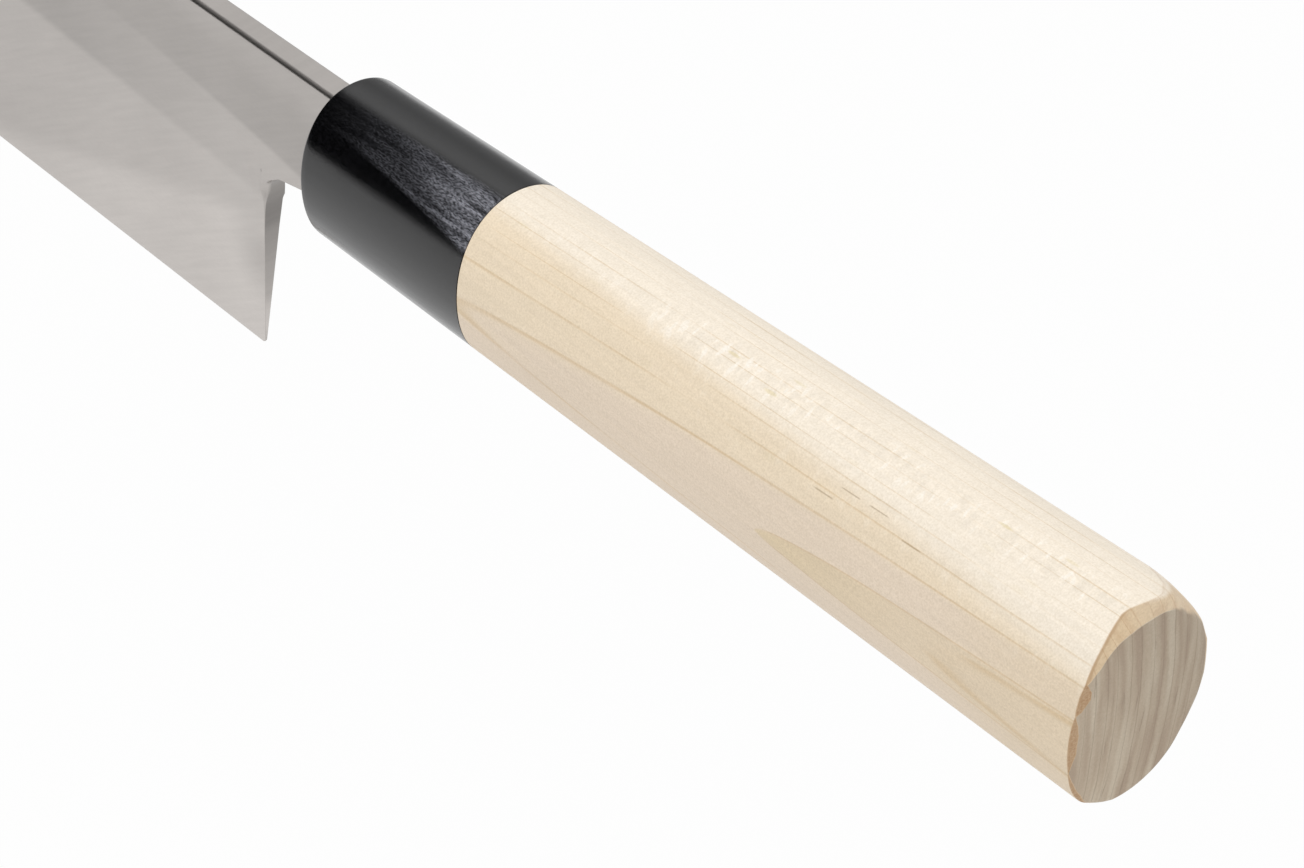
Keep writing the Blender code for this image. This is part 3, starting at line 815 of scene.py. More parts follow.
@dataclass(frozen=True)
class CastAmberResin:
    """Pine resin, melted into the bore and set hard: clear amber, with cloudy strings in it."""

    clear: str = "#C08A3C"
    cloudy: str = "#8A5A22"
    roughness: float = 0.3
    cloud_width: float = 4.0
    ior: float = 1.54

    def make(self) -> bpy.types.Material:
        """Build the material: noise mixes a clear and a cloudy amber.

        Returns:
            The material.
        """
        material, node = new_material("cast_amber_resin")
        cloud = node("TexNoise", {"Vector": handle_place(node), "Scale": 1 / self.cloud_width, "Detail": 4.0})
        colour = node("Mix", {0: cloud, 6: self.clear, 7: self.cloudy}, **TINT)
        surface = {"Base Color": colour, "Roughness": self.roughness, "IOR": self.ior}
        feed(material.node_tree.nodes["Principled BSDF"], surface)
        return material


@dataclass
class Blade:
    """Blade, neck and tang, forged as one piece of steel and ground on one side.

    Its marks tell the finish where each point lies: on which side, on a filed or eased corner,
    and how far above the lines between the grinding passes, the edge and the ridge, in mm.
    """

    tang: TangForm
    finish: SatinGroundSteel
    edge_length: float = 180.0
    height_at_heel: float = 48.5
    height_at_tip: float = 46.0
    spine_above_axis: float = 9.7
    spine_rise: float = 1.3
    neck_length: float = 14.6
    neck_low_z: float = -7.0
    neck_slope_start: float = 0.43
    neck_height_at_heel: float = 19.75
    choil_radius: float = 4.0
    heel_radius: float = 0.6
    tip_spine_radius: float = 2.5
    tip_edge_radius: float = 1.0
    left_y: float = 2.55
    thickness_at_neck: float = 3.6
    thickness_at_tip: float = 1.6
    bevel_height_at_heel: float = 25.5
    bevel_height_at_tip: float = 23.5
    edge_thickness: float = 0.22
    hollow_depth: float = 0.35
    hollow_rim_at_edge: float = 1.2
    hollow_rim_at_spine: float = 6.0
    hollow_rim_gain: float = 9.0
    hollow_rim_fade: float = 55.0
    hollow_runout: float = 9.0
    hollow_end_rim: float = 1.5
    # Radius of each eased corner. Beside the choil it follows the height.
    spine_easing_left: float = 0.66
    spine_easing_right: float = 0.12
    spine_band: float = 3.0
    spine_rim: float = 1.5
    neck_easing: float = 0.1
    tang_easing: float = 0.1
    left_easing_z: Table = (-23, -20, -18, -17, -16, -15, -14, -13.2, -12.4, -11.6, -10.8, -10, -9.4)
    left_easing: Table = (0.05, 0.06, 0.08, 0.1, 0.14, 0.25, 0.5, 1.0, 1.02, 0.85, 0.45, 0.15, 0.1)
    right_easing_z: Table = (-30, -15)
    right_easing: Table = (0.05, 0.1)
    easing_reach: float = 6.0
    choil_start_x: float = 9.5
    heel_margin: float = 0.3
    tip_margin: float = 1.5
    # How far the choil was filed back past its arc, by height, and where its filed surface ends.
    filed_back_z: Table = (-20, -16, -15, -14, -13.6, -13, -12.5, -12, -11.5, -11, -10.5, -10, -9.4, -9.2)
    filed_back: Table = (0.0, 0.08, 0.12, 0.19, 0.18, 0.16, 0.2, 0.23, 0.24, 0.29, 0.38, 0.46, 0.24, 0.0)
    filed_top_z: float = -11.6
    filed_top_slope: float = 0.5
    filed_top_fade: float = 0.7
    filed_low: float = 0.8
    filed_low_fade: float = 1.5
    edge_break: float = 0.05
    # The two lines on the left face where the grinding passes meet, and where its tone, partly painted reflection,
    # steps.
    first_pass_start: float = 4.0
    first_pass_gap: float = 0.1
    second_pass_place: tuple[float, float] = (59.9, -11.1)
    second_pass_slope: float = 0.068
    # Columns and rows of the grids. The tang's columns end shoulder_step behind the shoulder, and
    # what is less than shoulder_slack behind it counts as neck.
    shoulder_step: float = 0.3
    shoulder_slack: float = 0.1
    column_width: float = 0.8
    column_crowding: float = 0.9
    tang_columns: int = 28
    inside_columns: int = 8
    neck_columns: int = 17
    choil_columns: int = 15
    rows_above_ridge: int = 40
    rows_below_ridge: int = 42
    corner_rows: int = 7
    rim_shares: Table = (0.0, 0.02, 0.35, 0.65, 0.98, 1.0)
    marks: tuple[str, ...] = (
        "side", "worn", "eased", "above_first_pass", "above_second_pass", "above_edge", "above_ridge",
    )

    @property
    def tip_x(self) -> float:
        """X of the tip."""
        return self.neck_length + self.edge_length

    def spine_z(self, x: np.ndarray | float) -> np.ndarray | float:
        """Height of the spine, which rises evenly to the tip."""
        return self.spine_above_axis + self.spine_rise * x / self.tip_x

    def along_edge(self, x: np.ndarray | float) -> np.ndarray | float:
        """0 at the heel and 1 at the tip."""
        return (x - self.neck_length) / self.edge_length

    def edge_z(self, x: np.ndarray | float) -> np.ndarray | float:
        """Height of the cutting edge, a straight line from heel to tip.

        Args:
            x: places along the blade.

        Returns:
            Height at each place.
        """
        heel = self.spine_z(self.neck_length) - self.height_at_heel
        tip = self.spine_z(self.tip_x) - self.height_at_tip
        return heel + (tip - heel) * self.along_edge(x)

    def ridge_z(self, x: np.ndarray | float) -> np.ndarray | float:
        """Height of the ridge at the top of the wide bevel, a straight line."""
        growth = self.bevel_height_at_tip - self.bevel_height_at_heel
        return self.edge_z(x) + self.bevel_height_at_heel + growth * self.along_edge(x)

    def hollow_top_z(self, x: np.ndarray) -> np.ndarray:
        """Upper rim of the hollow: below the spine by a rim that is widest at the heel and fades out."""
        gain = self.hollow_rim_gain * np.exp(-(x - self.neck_length) / self.hollow_rim_fade)
        return self.spine_z(x) - self.hollow_rim_at_spine - gain

    def face_y(self, x: np.ndarray, z: np.ndarray, side: Side) -> np.ndarray:
        """Y of one face of the steel.

        Left: a plane, less the hollow, whose depth is 1 - o^2 - lift of the full depth, where o is
        the distance from the hollow's middle line over its half height and lift grows squared
        towards its ends. Right: the thickness falls evenly to the tip, and below the ridge evenly
        to the edge. Behind the shoulder both are the tang's sides.

        Args:
            x: places along the blade.
            z: heights.
            side: which face.

        Returns:
            Y at each place.
        """
        half_tang, _ = self.tang.half(x)
        if side is Side.LEFT:
            high = self.hollow_top_z(x)
            low = self.edge_z(x) + self.hollow_rim_at_edge
            offset = (z - (high + low) / 2) / ((high - low) / 2)
            from_end = np.minimum(x - self.neck_length, self.tip_x - x) - self.hollow_end_rim
            lift = np.maximum(0.0, 1 - from_end / self.hollow_runout) ** 2
            steel = self.left_y - self.hollow_depth * np.maximum(0.0, 1 - offset**2 - lift)
        else:
            taper = (self.thickness_at_tip - self.thickness_at_neck) * np.maximum(x, 0.0) / self.tip_x
            flat = self.left_y - self.thickness_at_neck - taper
            down = np.clip((self.ridge_z(x) - z) / (self.ridge_z(x) - self.edge_z(x)), 0.0, 1.0)
            ground = flat + (self.left_y - self.edge_thickness - flat) * down
            steel = np.where(x >= self.neck_length, ground, flat)
        behind_shoulder = x < self.tang.shoulder_x - self.shoulder_slack
        return np.where(behind_shoulder, self.tang.centre[0] + side.value * half_tang, steel)

    def neck_row(self) -> np.ndarray:
        """Low row of the neck and of the choil, an arc that touches the neck's line and the heel's upright.

        The arc's centre lies on the line that halves the corner between them, at the radius
        over the sine of half the corner.

        Returns:
            (X, Z) points from the shoulder to just before the ridge row.
        """
        heel = np.array((self.neck_length, self.spine_z(self.neck_length) - self.neck_height_at_heel))
        slope_start = np.array((self.neck_slope_start, self.neck_low_z))
        back = (slope_start - heel) / np.linalg.norm(slope_start - heel)
        half_corner = math.acos(-back[1]) / 2
        reach = self.choil_radius / math.tan(half_corner)
        inward = back + np.array((0.0, -1.0))
        centre = heel + inward / np.linalg.norm(inward) * self.choil_radius / math.sin(half_corner)
        start = heel + back * reach - centre
        arc = np.linspace(math.atan2(start[1], start[0]), 0.0, self.choil_columns)
        choil = centre + self.choil_radius * np.stack([np.cos(arc), np.sin(arc)], axis=1)
        inside_x = np.linspace(self.tang.shoulder_x, self.neck_slope_start, self.inside_columns)
        inside = np.stack([inside_x, np.full_like(inside_x, self.neck_low_z)], axis=1)
        slope = slope_start + np.linspace(0, 1, self.neck_columns)[1:-1, None] * (choil[0] - slope_start)
        return np.concatenate([inside, slope, choil[:-1]])

    def outline_rows(self) -> tuple[np.ndarray, np.ndarray, np.ndarray, np.ndarray]:
        """Rows of (X, Z) points along the blade's outline and along the ridge.

        A share t of the ridge row's columns lies at t - crowding * sin(2 pi t) / (2 pi) of its
        length, so that they crowd towards heel and tip. The corners there are quarter arcs.

        Returns:
            The top row and the row below it from the tang's end to the tip, which follows the
            tang, the neck, the choil's arc and then the ridge; and the ridge row and the row
            below it from heel to tip, which follows the heel's arc, the edge and the tip's arc.
        """
        tang_x = np.linspace(-self.tang.length, self.tang.shoulder_x - self.shoulder_step, self.tang_columns)
        _, half = self.tang.half(tang_x)
        tang_top = np.stack([tang_x, self.tang.centre[1] + half], axis=1)
        tang_low = np.stack([tang_x, self.tang.centre[1] - half], axis=1)
        even = np.linspace(0, 1, round(self.edge_length / self.column_width))
        crowded = even - self.column_crowding * np.sin(2 * math.pi * even) / (2 * math.pi)
        ridge_x = self.neck_length + self.edge_length * crowded
        ridge = np.stack([ridge_x, self.ridge_z(ridge_x)], axis=1)
        bottom = np.concatenate([tang_low, self.neck_row(), ridge])
        top_x = np.minimum(bottom[:, 0], self.tip_x)
        past = np.clip((top_x - (self.tip_x - self.tip_spine_radius)) / self.tip_spine_radius, 0, 1) * math.pi / 2
        top_x = np.where(past > 0, self.tip_x + self.tip_spine_radius * (np.sin(past) - 1), top_x)
        top_z = self.spine_z(top_x) - self.tip_spine_radius * (1 - np.cos(past))
        top = np.concatenate([tang_top, np.stack([top_x, top_z], axis=1)[len(tang_x) :]])
        heel_turn = np.clip(1 - (ridge_x - self.neck_length) / self.heel_radius, 0, 1) * math.pi / 2
        tip_turn = np.clip((ridge_x - self.tip_x) / self.tip_edge_radius + 1, 0, 1) * math.pi / 2
        edge_x = np.where(heel_turn > 0, self.neck_length + self.heel_radius * (1 - np.sin(heel_turn)), ridge_x)
        edge_x = np.where(tip_turn > 0, self.tip_x + self.tip_edge_radius * (np.sin(tip_turn) - 1), edge_x)
        lift = self.heel_radius * (1 - np.cos(heel_turn)) + self.tip_edge_radius * (1 - np.cos(tip_turn))
        edge = np.stack([edge_x, self.edge_z(edge_x) + lift], axis=1)
        return top, bottom, ridge, edge

    def blocks(self, rows: tuple[np.ndarray, ...]) -> tuple[np.ndarray, np.ndarray]:
        """Two grids of (X, Z) points between the outline rows.

        Args:
            rows: top, bottom, ridge and edge row.

        Returns:
            The grid above the ridge and the grid below it.
        """
        top, bottom, ridge, edge = rows
        upper = between(bottom, top, np.linspace(0, 1, self.rows_above_ridge + 1))
        lower = between(ridge, edge, np.linspace(0, 1, self.rows_below_ridge + 1))
        return upper, lower

    def rim_path(self, upper: np.ndarray, lower: np.ndarray) -> np.ndarray:
        """The closed outline of the two grids, from the tang's end along the spine and back.

        Args:
            upper: grid above the ridge.
            lower: grid below it.

        Returns:
            The outline's points.
        """
        start = upper.shape[1] - lower.shape[1]
        return np.concatenate([
            upper[-1, :],
            upper[-2::-1, -1],
            lower[1:, -1],
            lower[-1, -2::-1],
            lower[-2:0:-1, 0],
            upper[0, start::-1],
            upper[1:, 0],
        ])

    def inset_rows(self, rows: tuple[np.ndarray, ...], side: Side) -> tuple[np.ndarray, ...]:
        """The outline rows moved inwards, square to the outline, by the easing of one side.

        Args:
            rows: top, bottom, ridge and edge row.
            side: which face.

        Returns:
            The same rows, moved.
        """
        top, bottom, ridge, edge = rows
        start = len(bottom) - len(ridge)
        outline = np.concatenate([top, edge[::-1], bottom[start - 1 :: -1]])
        ahead = np.roll(outline, -1, axis=0) - np.roll(outline, 1, axis=0)
        inward = np.stack([ahead[:, 1], -ahead[:, 0]], axis=1) / np.linalg.norm(ahead, axis=1)[:, None]
        inner = outline + inward * self.rounding(outline, side)[:, None]
        new_top = inner[: len(top)]
        new_edge = inner[len(top) : len(top) + len(edge)][::-1]
        new_neck = inner[len(top) + len(edge) :][::-1]
        soft = self.rounding(ridge, side)
        drawn_in = 1 - (soft[0] + soft[-1]) / self.edge_length
        ridge_x = self.neck_length + soft[0] + (ridge[:, 0] - self.neck_length) * drawn_in
        new_ridge = np.stack([ridge_x, self.ridge_z(ridge_x)], axis=1)
        new_bottom = np.concatenate([new_neck, new_ridge])
        return new_top, new_bottom, new_ridge, new_edge

    def rounding(self, outline: np.ndarray, side: Side) -> np.ndarray:
        """Radius that the corner between face and rim is eased by, at points of the outline.

        The spine is eased most on the left, the edge is only broken, and the choil is rounded
        by hand on the left, widest in its curve.

        Args:
            outline: (X, Z) points.
            side: which face.

        Returns:
            Radius at each point.
        """
        x, z = outline[:, 0], outline[:, 1]
        if side is Side.LEFT:
            choil = np.interp(z, self.left_easing_z, self.left_easing)
            spine = self.spine_easing_left
        else:
            choil = np.interp(z, self.right_easing_z, self.right_easing)
            spine = self.spine_easing_right
        near_spine = z > self.spine_z(x) - self.spine_band
        near_heel = np.where(x > self.choil_start_x, choil, self.neck_easing)
        ahead = np.where(x > self.neck_length + self.heel_margin, self.edge_break, near_heel)
        at_tip = np.where((x > self.tip_x - self.tip_margin) & ~near_spine, self.edge_break * 2, ahead)
        return np.where(x < self.tang.shoulder_x, self.tang_easing, np.where(near_spine, spine, at_tip))

    def follow_choil(self, lower: np.ndarray, side: Side) -> np.ndarray:
        """Grid below the ridge with its back column moved onto the inset line beside the choil.

        The next columns follow by 1 less their distance from it over the reach, squared.

        Args:
            lower: grid of (X, Z) points.
            side: which face.

        Returns:
            The grid, moved.
        """
        back = lower[:, 0]
        upright = np.stack([np.full(len(back), self.neck_length), back[:, 1]], axis=1)
        aim = self.neck_length + self.rounding(upright, side)
        clear_of_heel = np.clip((back[:, 1] - self.edge_z(self.neck_length) - self.heel_radius) / 2, 0, 1)
        share = np.clip(1 - (lower[..., 0] - back[:, :1]) / self.easing_reach, 0, 1) ** 2
        moved = lower.copy()
        moved[1:, :, 0] += (((aim - back[:, 0]) * clear_of_heel)[:, None] * share)[1:]
        return moved

    def filed_to_shape(self, block: np.ndarray) -> np.ndarray:
        """Grid with its points beside the choil moved back by the table filed_back of their heights.

        Ahead of the neck's end the move falls to 0 over the reach, squared.

        Args:
            block: grid of (X, Z) points.

        Returns:
            The grid, moved.
        """
        x, z = block[..., 0], block[..., 1]
        share = np.clip(1 - (x - self.neck_length) / self.easing_reach, 0, 1) ** 2
        moved = block.copy()
        moved[..., 0] -= np.interp(z, self.filed_back_z, self.filed_back) * share * (x > self.choil_start_x)
        return moved

    def marked(self, flat: np.ndarray, y: np.ndarray, side: float, worn: np.ndarray, eased: np.ndarray) -> np.ndarray:
        """Grid with its marks: which side it is on, how worn and eased, and how far above four lines.

        Args:
            flat: (X, Z) points.
            y: their Y.
            side: 1 on the left face, -1 on the right one and 0 on the rim.
            worn: 1 where it was filed.
            eased: 1 where the corner was eased.

        Returns:
            Array of rows, columns and channels.
        """
        x, z = flat[..., 0], flat[..., 1]
        first_line = self.hollow_top_z(np.maximum(x, self.first_pass_start)) + self.first_pass_gap
        second_line = self.second_pass_place[1] + self.second_pass_slope * (x - self.second_pass_place[0])
        return with_marks(
            np.stack([x, y, z], axis=2),
            side,
            worn,
            eased,
            z - first_line,
            z - second_line,
            z - self.edge_z(x),
            z - self.ridge_z(x),
        )

    def build(self) -> list[np.ndarray]:
        """The two faces and the rim between them.

        A quarter round leaves each face along its inset outline: at an angle a it lies
        radius * sin(a) further out and radius * (1 - cos(a)) further in from the face.
        The filed surface of the choil ends in its curve, higher up on the right than on the left.
        Round a corner the eased mark is full after a third, and the filed mark begins at 0.7.

        Returns:
            Grids with their marks.
        """
        rows = self.outline_rows()
        outer = self.rim_path(*map(self.filed_to_shape, self.blocks(rows)))
        outer_x, outer_z = outer.T
        ahead_of_handle = outer_x > self.tang.shoulder_x - self.shoulder_slack
        spine = (outer_z > self.spine_z(outer_x) - self.spine_rim) & ahead_of_handle
        above_edge = np.clip((outer_z - self.edge_z(outer_x) - self.filed_low) / self.filed_low_fade, 0, 1)
        filed = above_edge * ~spine * ahead_of_handle * (outer_x < self.neck_length + self.heel_margin)
        turn = np.linspace(0, math.pi / 2, self.corner_rows)[:, None]
        share = turn / (math.pi / 2)
        # The filed mark darkens the steel, partly as painted shade.
        worn, eased = np.clip((share - 0.7) / 0.3, 0, 1), np.clip(share * 3, 0, 1)
        side_channel, eased_channel = (3 + self.marks.index(mark) for mark in ("side", "eased"))
        grids = []
        strips = []
        for side in Side:
            upper, lower = self.blocks(self.inset_rows(rows, side))
            upper, lower = self.filed_to_shape(upper), self.filed_to_shape(self.follow_choil(lower, side))
            for block in (upper, lower):
                y = self.face_y(block[..., 0], block[..., 1], side)
                grids.append(self.marked(block, y, float(side.value), np.zeros(1), np.zeros(1)))
            inner = self.rim_path(upper, lower)
            y = self.face_y(inner[:, 0], inner[:, 1], side)
            drop = np.linalg.norm(outer - inner, axis=1)
            flat = inner + np.sin(turn)[..., None] * (outer - inner)
            level = y - side.value * (1 - np.cos(turn)) * drop
            filed_top = self.filed_top_z + self.filed_top_slope * (self.left_y - level)
            below_top = np.clip((filed_top - flat[..., 1]) / self.filed_top_fade, 0, 1)
            strips.append(self.marked(flat, level, 0.0, worn * filed * below_top, eased * spine))
            strips[-1][0, :, side_channel] = side.value
        middle = between(strips[0][-1], strips[1][-1], np.array(self.rim_shares))
        middle[1:-1, :, eased_channel] = 0.0
        return grids + strips + [middle]

    def dress(self) -> bpy.types.Object:
        """Make the piece."""
        return make_piece("blade_steel", self.build(), self.marks, self.finish.make(), "blade")


@dataclass
class Ferrule:
    """Black collar with a slot for the neck, a bore for the tang and a socket for the grip's tenon."""

    form: HandleForm
    tang: TangForm
    finish: BlackLaminatedWood
    edge_radius: float = 0.5
    slot_centre: tuple[float, float] = (0.75, 1.35)
    slot_half: tuple[float, float] = (1.95, 8.5)
    slot_end: float = -7.1
    relief_end: float = -7.25
    relief_height: float = 0.05
    # The band of the painted highlight on the fibre flecks, in degrees from the left towards the top.
    sheen_from: float = 46.0
    sheen_to: float = 76.0
    sheen_widening: float = 16.0
    sheen_angles: Table = (0, 5, 14, 20, 24, 30, 34, 38, 41, 43, 46)
    sheen_amounts: Table = (0, 0.9, 0.76, 0.86, 0.86, 0.64, 0.8, 0.96, 0.74, 0.28, 0)
    sheen_growth: float = 2.1
    sheen_full: float = 0.9
    side_rows: int = 40
    edge_rows: int = 6
    front_rows: int = 8

    def figure(self, ring: np.ndarray) -> np.ndarray:
        """How strongly fibre flecks show at the points of a ring.

        They show in a band of angles round the ferrule, sheen_from to sheen_to at the front,
        whose start falls by the widening times the squared share of the way to the joint. The
        table of amounts is stretched over the band. They grow with that share, up to
        sheen_full, to the power of sheen_growth.

        Args:
            ring: points of one ring.

        Returns:
            Amount at each point.
        """
        # Painted highlight: the fibres' sheen, strongest towards the joint.
        share = np.clip(-ring[:, 0] / self.form.ferrule_length, 0, 1)
        angle = np.degrees(self.form.angles())
        start = self.sheen_from - self.sheen_widening * share**2
        spread = (angle - start) * self.sheen_angles[-1] / (self.sheen_to - start)
        amount = np.interp(spread, self.sheen_angles, self.sheen_amounts, left=0, right=0)
        return amount * np.minimum(share, self.sheen_full) ** self.sheen_growth

    def build(self) -> list[np.ndarray]:
        """One grid that runs out over the side, round the front edge, in through the bore and back.

        At an angle a round the front edge, a quarter circle, a ring lies radius * (1 - sin(a))
        behind the front and radius * (1 - cos(a)) inside the surface.

        Returns:
            The grid with its mark.
        """
        form, cut = self.form, SawCut
        joint = -form.ferrule_length
        turn = np.linspace(0, math.pi / 2, self.edge_rows)
        behind, within = self.edge_radius * (1 - np.sin(turn)), self.edge_radius * (1 - np.cos(turn))
        edge = [form.ring(-x, inset, cut.FRONT) for x, inset in zip(behind, within)]
        outside = between(form.ring(joint, 0.0, cut.JOINT), edge[0], np.linspace(0, 1, self.side_rows))
        slot = form.box_ring(0.0, self.slot_centre, self.slot_half)
        slot[:, 0] = cut.FRONT.value[0] * slot[:, 1] + cut.FRONT.value[1] * slot[:, 2]
        thick, high = (half + self.tang.bore_grow for half in self.tang.half(self.relief_end))
        socket_end = joint + form.tenon_length + form.fit
        relief = (thick, self.slot_half[1] + self.relief_height)
        inner = [
            form.box_ring(self.slot_end, self.slot_centre, self.slot_half),
            form.box_ring(self.slot_end, self.slot_centre, relief),
            form.box_ring(self.relief_end, self.slot_centre, relief),
            form.box_ring(self.relief_end, self.tang.centre, (thick, high)),
            self.tang.bore_ring(form, socket_end),
            form.ring(socket_end, form.wall, cut.SQUARE),
            form.ring(joint, form.wall, cut.JOINT),
            form.ring(joint, 0.0, cut.JOINT),
        ]
        front = between(edge[-1], slot, np.linspace(0, 1, self.front_rows))
        grid = np.concatenate([outside, np.stack(edge[1:]), front[1:], np.stack(inner)])
        figure = np.stack([self.figure(ring) for ring in grid])
        figure[self.side_rows :] = 0.0
        return [with_marks(grid, figure)]

    def dress(self) -> bpy.types.Object:
        """Make the piece."""
        return make_piece("ferrule_black", self.build(), ("figure",), self.finish.make(), "ferrule")


@dataclass
class Grip:
    """Magnolia grip: an oval with a hand-sanded butt, a tenon in front and a bore for the tang."""

    form: HandleForm
    tang: TangForm
    finish: BareMagnolia
    joint_gap: float = 0.06
    corner_break: float = 0.1
    corner_break_share: float = 0.1
    # Corners of the facets round the butt, in degrees from the left towards the top, with the
    # depth along the handle and the width on the butt that the chamfer has there.
    facet_angles: Table = (
        -82, -70, -60, -52, -44, -29, -17, -8, 5, 12, 18, 20, 27, 31, 34, 36, 43, 51, 60, 70, 75, 80, 87, 94, 101, 110,
        120, 130, 140, 155, 170, 190, 203, 211, 221, 231, 240,
    )
    facet_depths: Table = (
        0.05, 0.45, 0.5, 0.3, 0.12, 0.12, 0.03, 0.15, 0.2, 0.15, 0.04, 0.15, 0.3, 0.25, 0.25, 0.35, 0.55, 0.75, 1.15,
        1.6, 1.5, 1.2, 0.9, 0.85, 1.15, 2.4, 5.4, 7.0, 6.6, 2.8, 0.5, 0.1, 0.1, 0.3, 0.32, 0.12, 0.05,
    )
    facet_insets: Table = (
        0.12, 0.32, 0.38, 0.3, 0.65, 0.5, 0.08, 1.3, 1.43, 1.0, 0.08, 1.0, 2.1, 1.7, 0.12, 0.45, 1.22, 1.34, 1.64, 2.2,
        2.26, 2.31, 2.34, 2.2, 2.08, 2.05, 2.4, 2.6, 2.0, 1.25, 0.9, 0.2, 0.2, 0.4, 0.44, 0.15, 0.1,
    )
    # Where the outline is crushed, the chamfer is tan, its section is round and end grain shows on it.
    crushed_angles: Table = (-60, -50, 34, 36, 68, 71, 76, 84, 120)
    crushed_widths: Table = (0.15, 3.0, 3.0, 0.45, 0.38, 0.3, 0.16, 0.08, 0.08)
    crushed_amounts: Table = (1.0, 1.0, 1.0, 0.55, 0.5, 0.45, 0.4, 0.4, 0.4)
    tan_angles: Table = (-60, 68, 78, 100, 140, 200)
    tan_amounts: Table = (1.0, 1.0, 0.9, 0.85, 0.8, 1.0)
    round_angles: Table = (82, 100, 170, 200)
    round_amounts: Table = (0, 1, 1, 0)
    round_fade_start: float = 0.8
    round_fade: float = 0.18
    end_angles: Table = (82, 98, 110, 120, 132, 145, 155, 175, 200)
    end_reaches: Table = (0, 0.0, 0.12, 0.27, 0.34, 0.42, 0.5, 0.4, 0)
    rim_shares: Table = (0.93, 0.8, 0.66, 0.52, 0.4, 0.3, 0.21, 0.13, 0.07, 0.03, 0.01, 0.0)
    facet_softness: float = 0.04
    end_fade: float = 0.08
    crushed_fade: float = 0.12
    face_rows: int = 12
    side_rows: int = 90
    side_crowding: float = 1.3
    marks: tuple[str, ...] = ("end_grain", "chamfer", "crushed")

    def facets(self) -> tuple[np.ndarray, np.ndarray, np.ndarray]:
        """The sanded chamfer round the butt, straight between its facets' corners.

        Returns:
            Its depth along the handle, its width on the butt and how round it is, at each angle.
        """
        angle = np.degrees(self.form.angles())
        depth = np.interp(angle, self.facet_angles, self.facet_depths, period=360)
        inset = np.interp(angle, self.facet_angles, self.facet_insets, period=360)
        return depth, inset, np.interp(angle, self.round_angles, self.round_amounts)

    def butt(self) -> np.ndarray:
        """The butt from its middle outwards.

        The height of a flat chamfer is depth * (v + sqrt(v^2 + e^2)) / 2, where v is 1 at the
        outline and 0 where the chamfer ends, and e rounds that line a little. Up on the right
        it goes over into a quarter ellipse, depth * (1 - sqrt(1 - v^2)).

        Returns:
            The grid with its marks.
        """
        form = self.form
        depth, inset, roundness = self.facets()
        outline = form.ring(depth - form.length, 0.0, SawCut.BUTT)
        inward = np.array((0.0, 0.0, form.butt_rise)) - outline
        reach = np.hypot(inward[:, 1], inward[:, 2])
        broken = np.minimum(self.corner_break, self.corner_break_share * inset) * (1 - roundness)
        past_line = np.concatenate([np.geomspace(1, 0.02, self.face_rows), [0.0]])
        travel = np.concatenate([
            inset + past_line[:, None] * (reach - inset),
            broken + np.array(self.rim_shares)[:, None] * (inset - broken),
        ])
        spot = outline[:, 1:] + travel[..., None] * (inward[:, 1:] / reach[:, None])
        value = 1 - travel / inset
        flat = (value + np.sqrt(value**2 + self.facet_softness**2)) / 2
        rounded = 1 - np.sqrt(1 - np.clip(value, 0, 1) ** 2)
        height = depth * (flat + roundness * (rounded - flat))
        tilt_y, tilt_z = SawCut.BUTT.value
        end_x = -form.length + tilt_y * spot[..., 0] + tilt_z * spot[..., 1] + height
        end = np.concatenate([end_x[..., None], spot], axis=2)
        end[0] = end[0].mean(axis=0)
        return with_marks(end, *self.butt_marks(travel))

    def butt_marks(self, travel: np.ndarray) -> tuple[np.ndarray, np.ndarray, np.ndarray]:
        """Marks of end grain, sanded chamfer and crushed corner on the butt.

        End grain shows on the flat and on the chamfer up to the table end_reaches of v, which
        is 1 at the outline and 0 where the chamfer ends. Where the chamfer is round, it goes
        over into the side without the colour of a sanded one.

        Args:
            travel: how far inwards from the outline each point lies.

        Returns:
            The three marks.
        """
        angle = np.degrees(self.form.angles())
        _, inset, roundness = self.facets()
        value = 1 - travel / inset
        end_reach = np.interp(angle, self.end_angles, self.end_reaches, left=0, right=0)
        end_grain = np.where(value > 0, np.clip((end_reach - value) / self.end_fade, 0, 1), 1.0)
        tan = np.interp(angle, self.tan_angles, self.tan_amounts, period=360)
        faded = roundness * np.clip((value - self.round_fade_start) / self.round_fade, 0, 1)
        chamfer = np.where(value > 0, tan * (1 - faded), 0.0)
        width = np.interp(angle, self.crushed_angles, self.crushed_widths, period=360)
        amount = np.interp(angle, self.crushed_angles, self.crushed_amounts, period=360)
        crushed = amount * np.clip((np.minimum(width, inset) - travel) / self.crushed_fade, 0, 1)
        return end_grain, chamfer, crushed

    def build(self) -> list[np.ndarray]:
        """One grid from the middle of the butt over the side and the tenon to the end of the bore.

        Returns:
            The grid with its marks.
        """
        form = self.form
        depth, _, roundness = self.facets()
        joint_x = -form.ferrule_length - self.joint_gap
        back = form.ring(depth - form.length + self.corner_break * (1 - roundness), 0.0, SawCut.BUTT)
        front = form.ring(joint_x - self.corner_break, 0.0, SawCut.JOINT)
        side = between(back, front, np.linspace(0, 1, self.side_rows) ** self.side_crowding)
        tenon_end = form.tenon_length - form.ferrule_length
        tenon_inset = form.wall + form.fit
        blind = self.tang.bore_ring(form, -self.tang.length - self.tang.bore_grow)
        inner = np.stack([
            form.ring(joint_x, self.corner_break, SawCut.JOINT),
            form.ring(joint_x, tenon_inset, SawCut.JOINT),
            form.ring(tenon_end, tenon_inset, SawCut.SQUARE),
            self.tang.bore_ring(form, tenon_end),
            blind,
            np.broadcast_to(blind[:-1].mean(axis=0), blind.shape),
        ])
        plain = with_marks(np.concatenate([side, inner]), 0.0, 0.0, 0.0)
        return [np.concatenate([self.butt(), plain])]

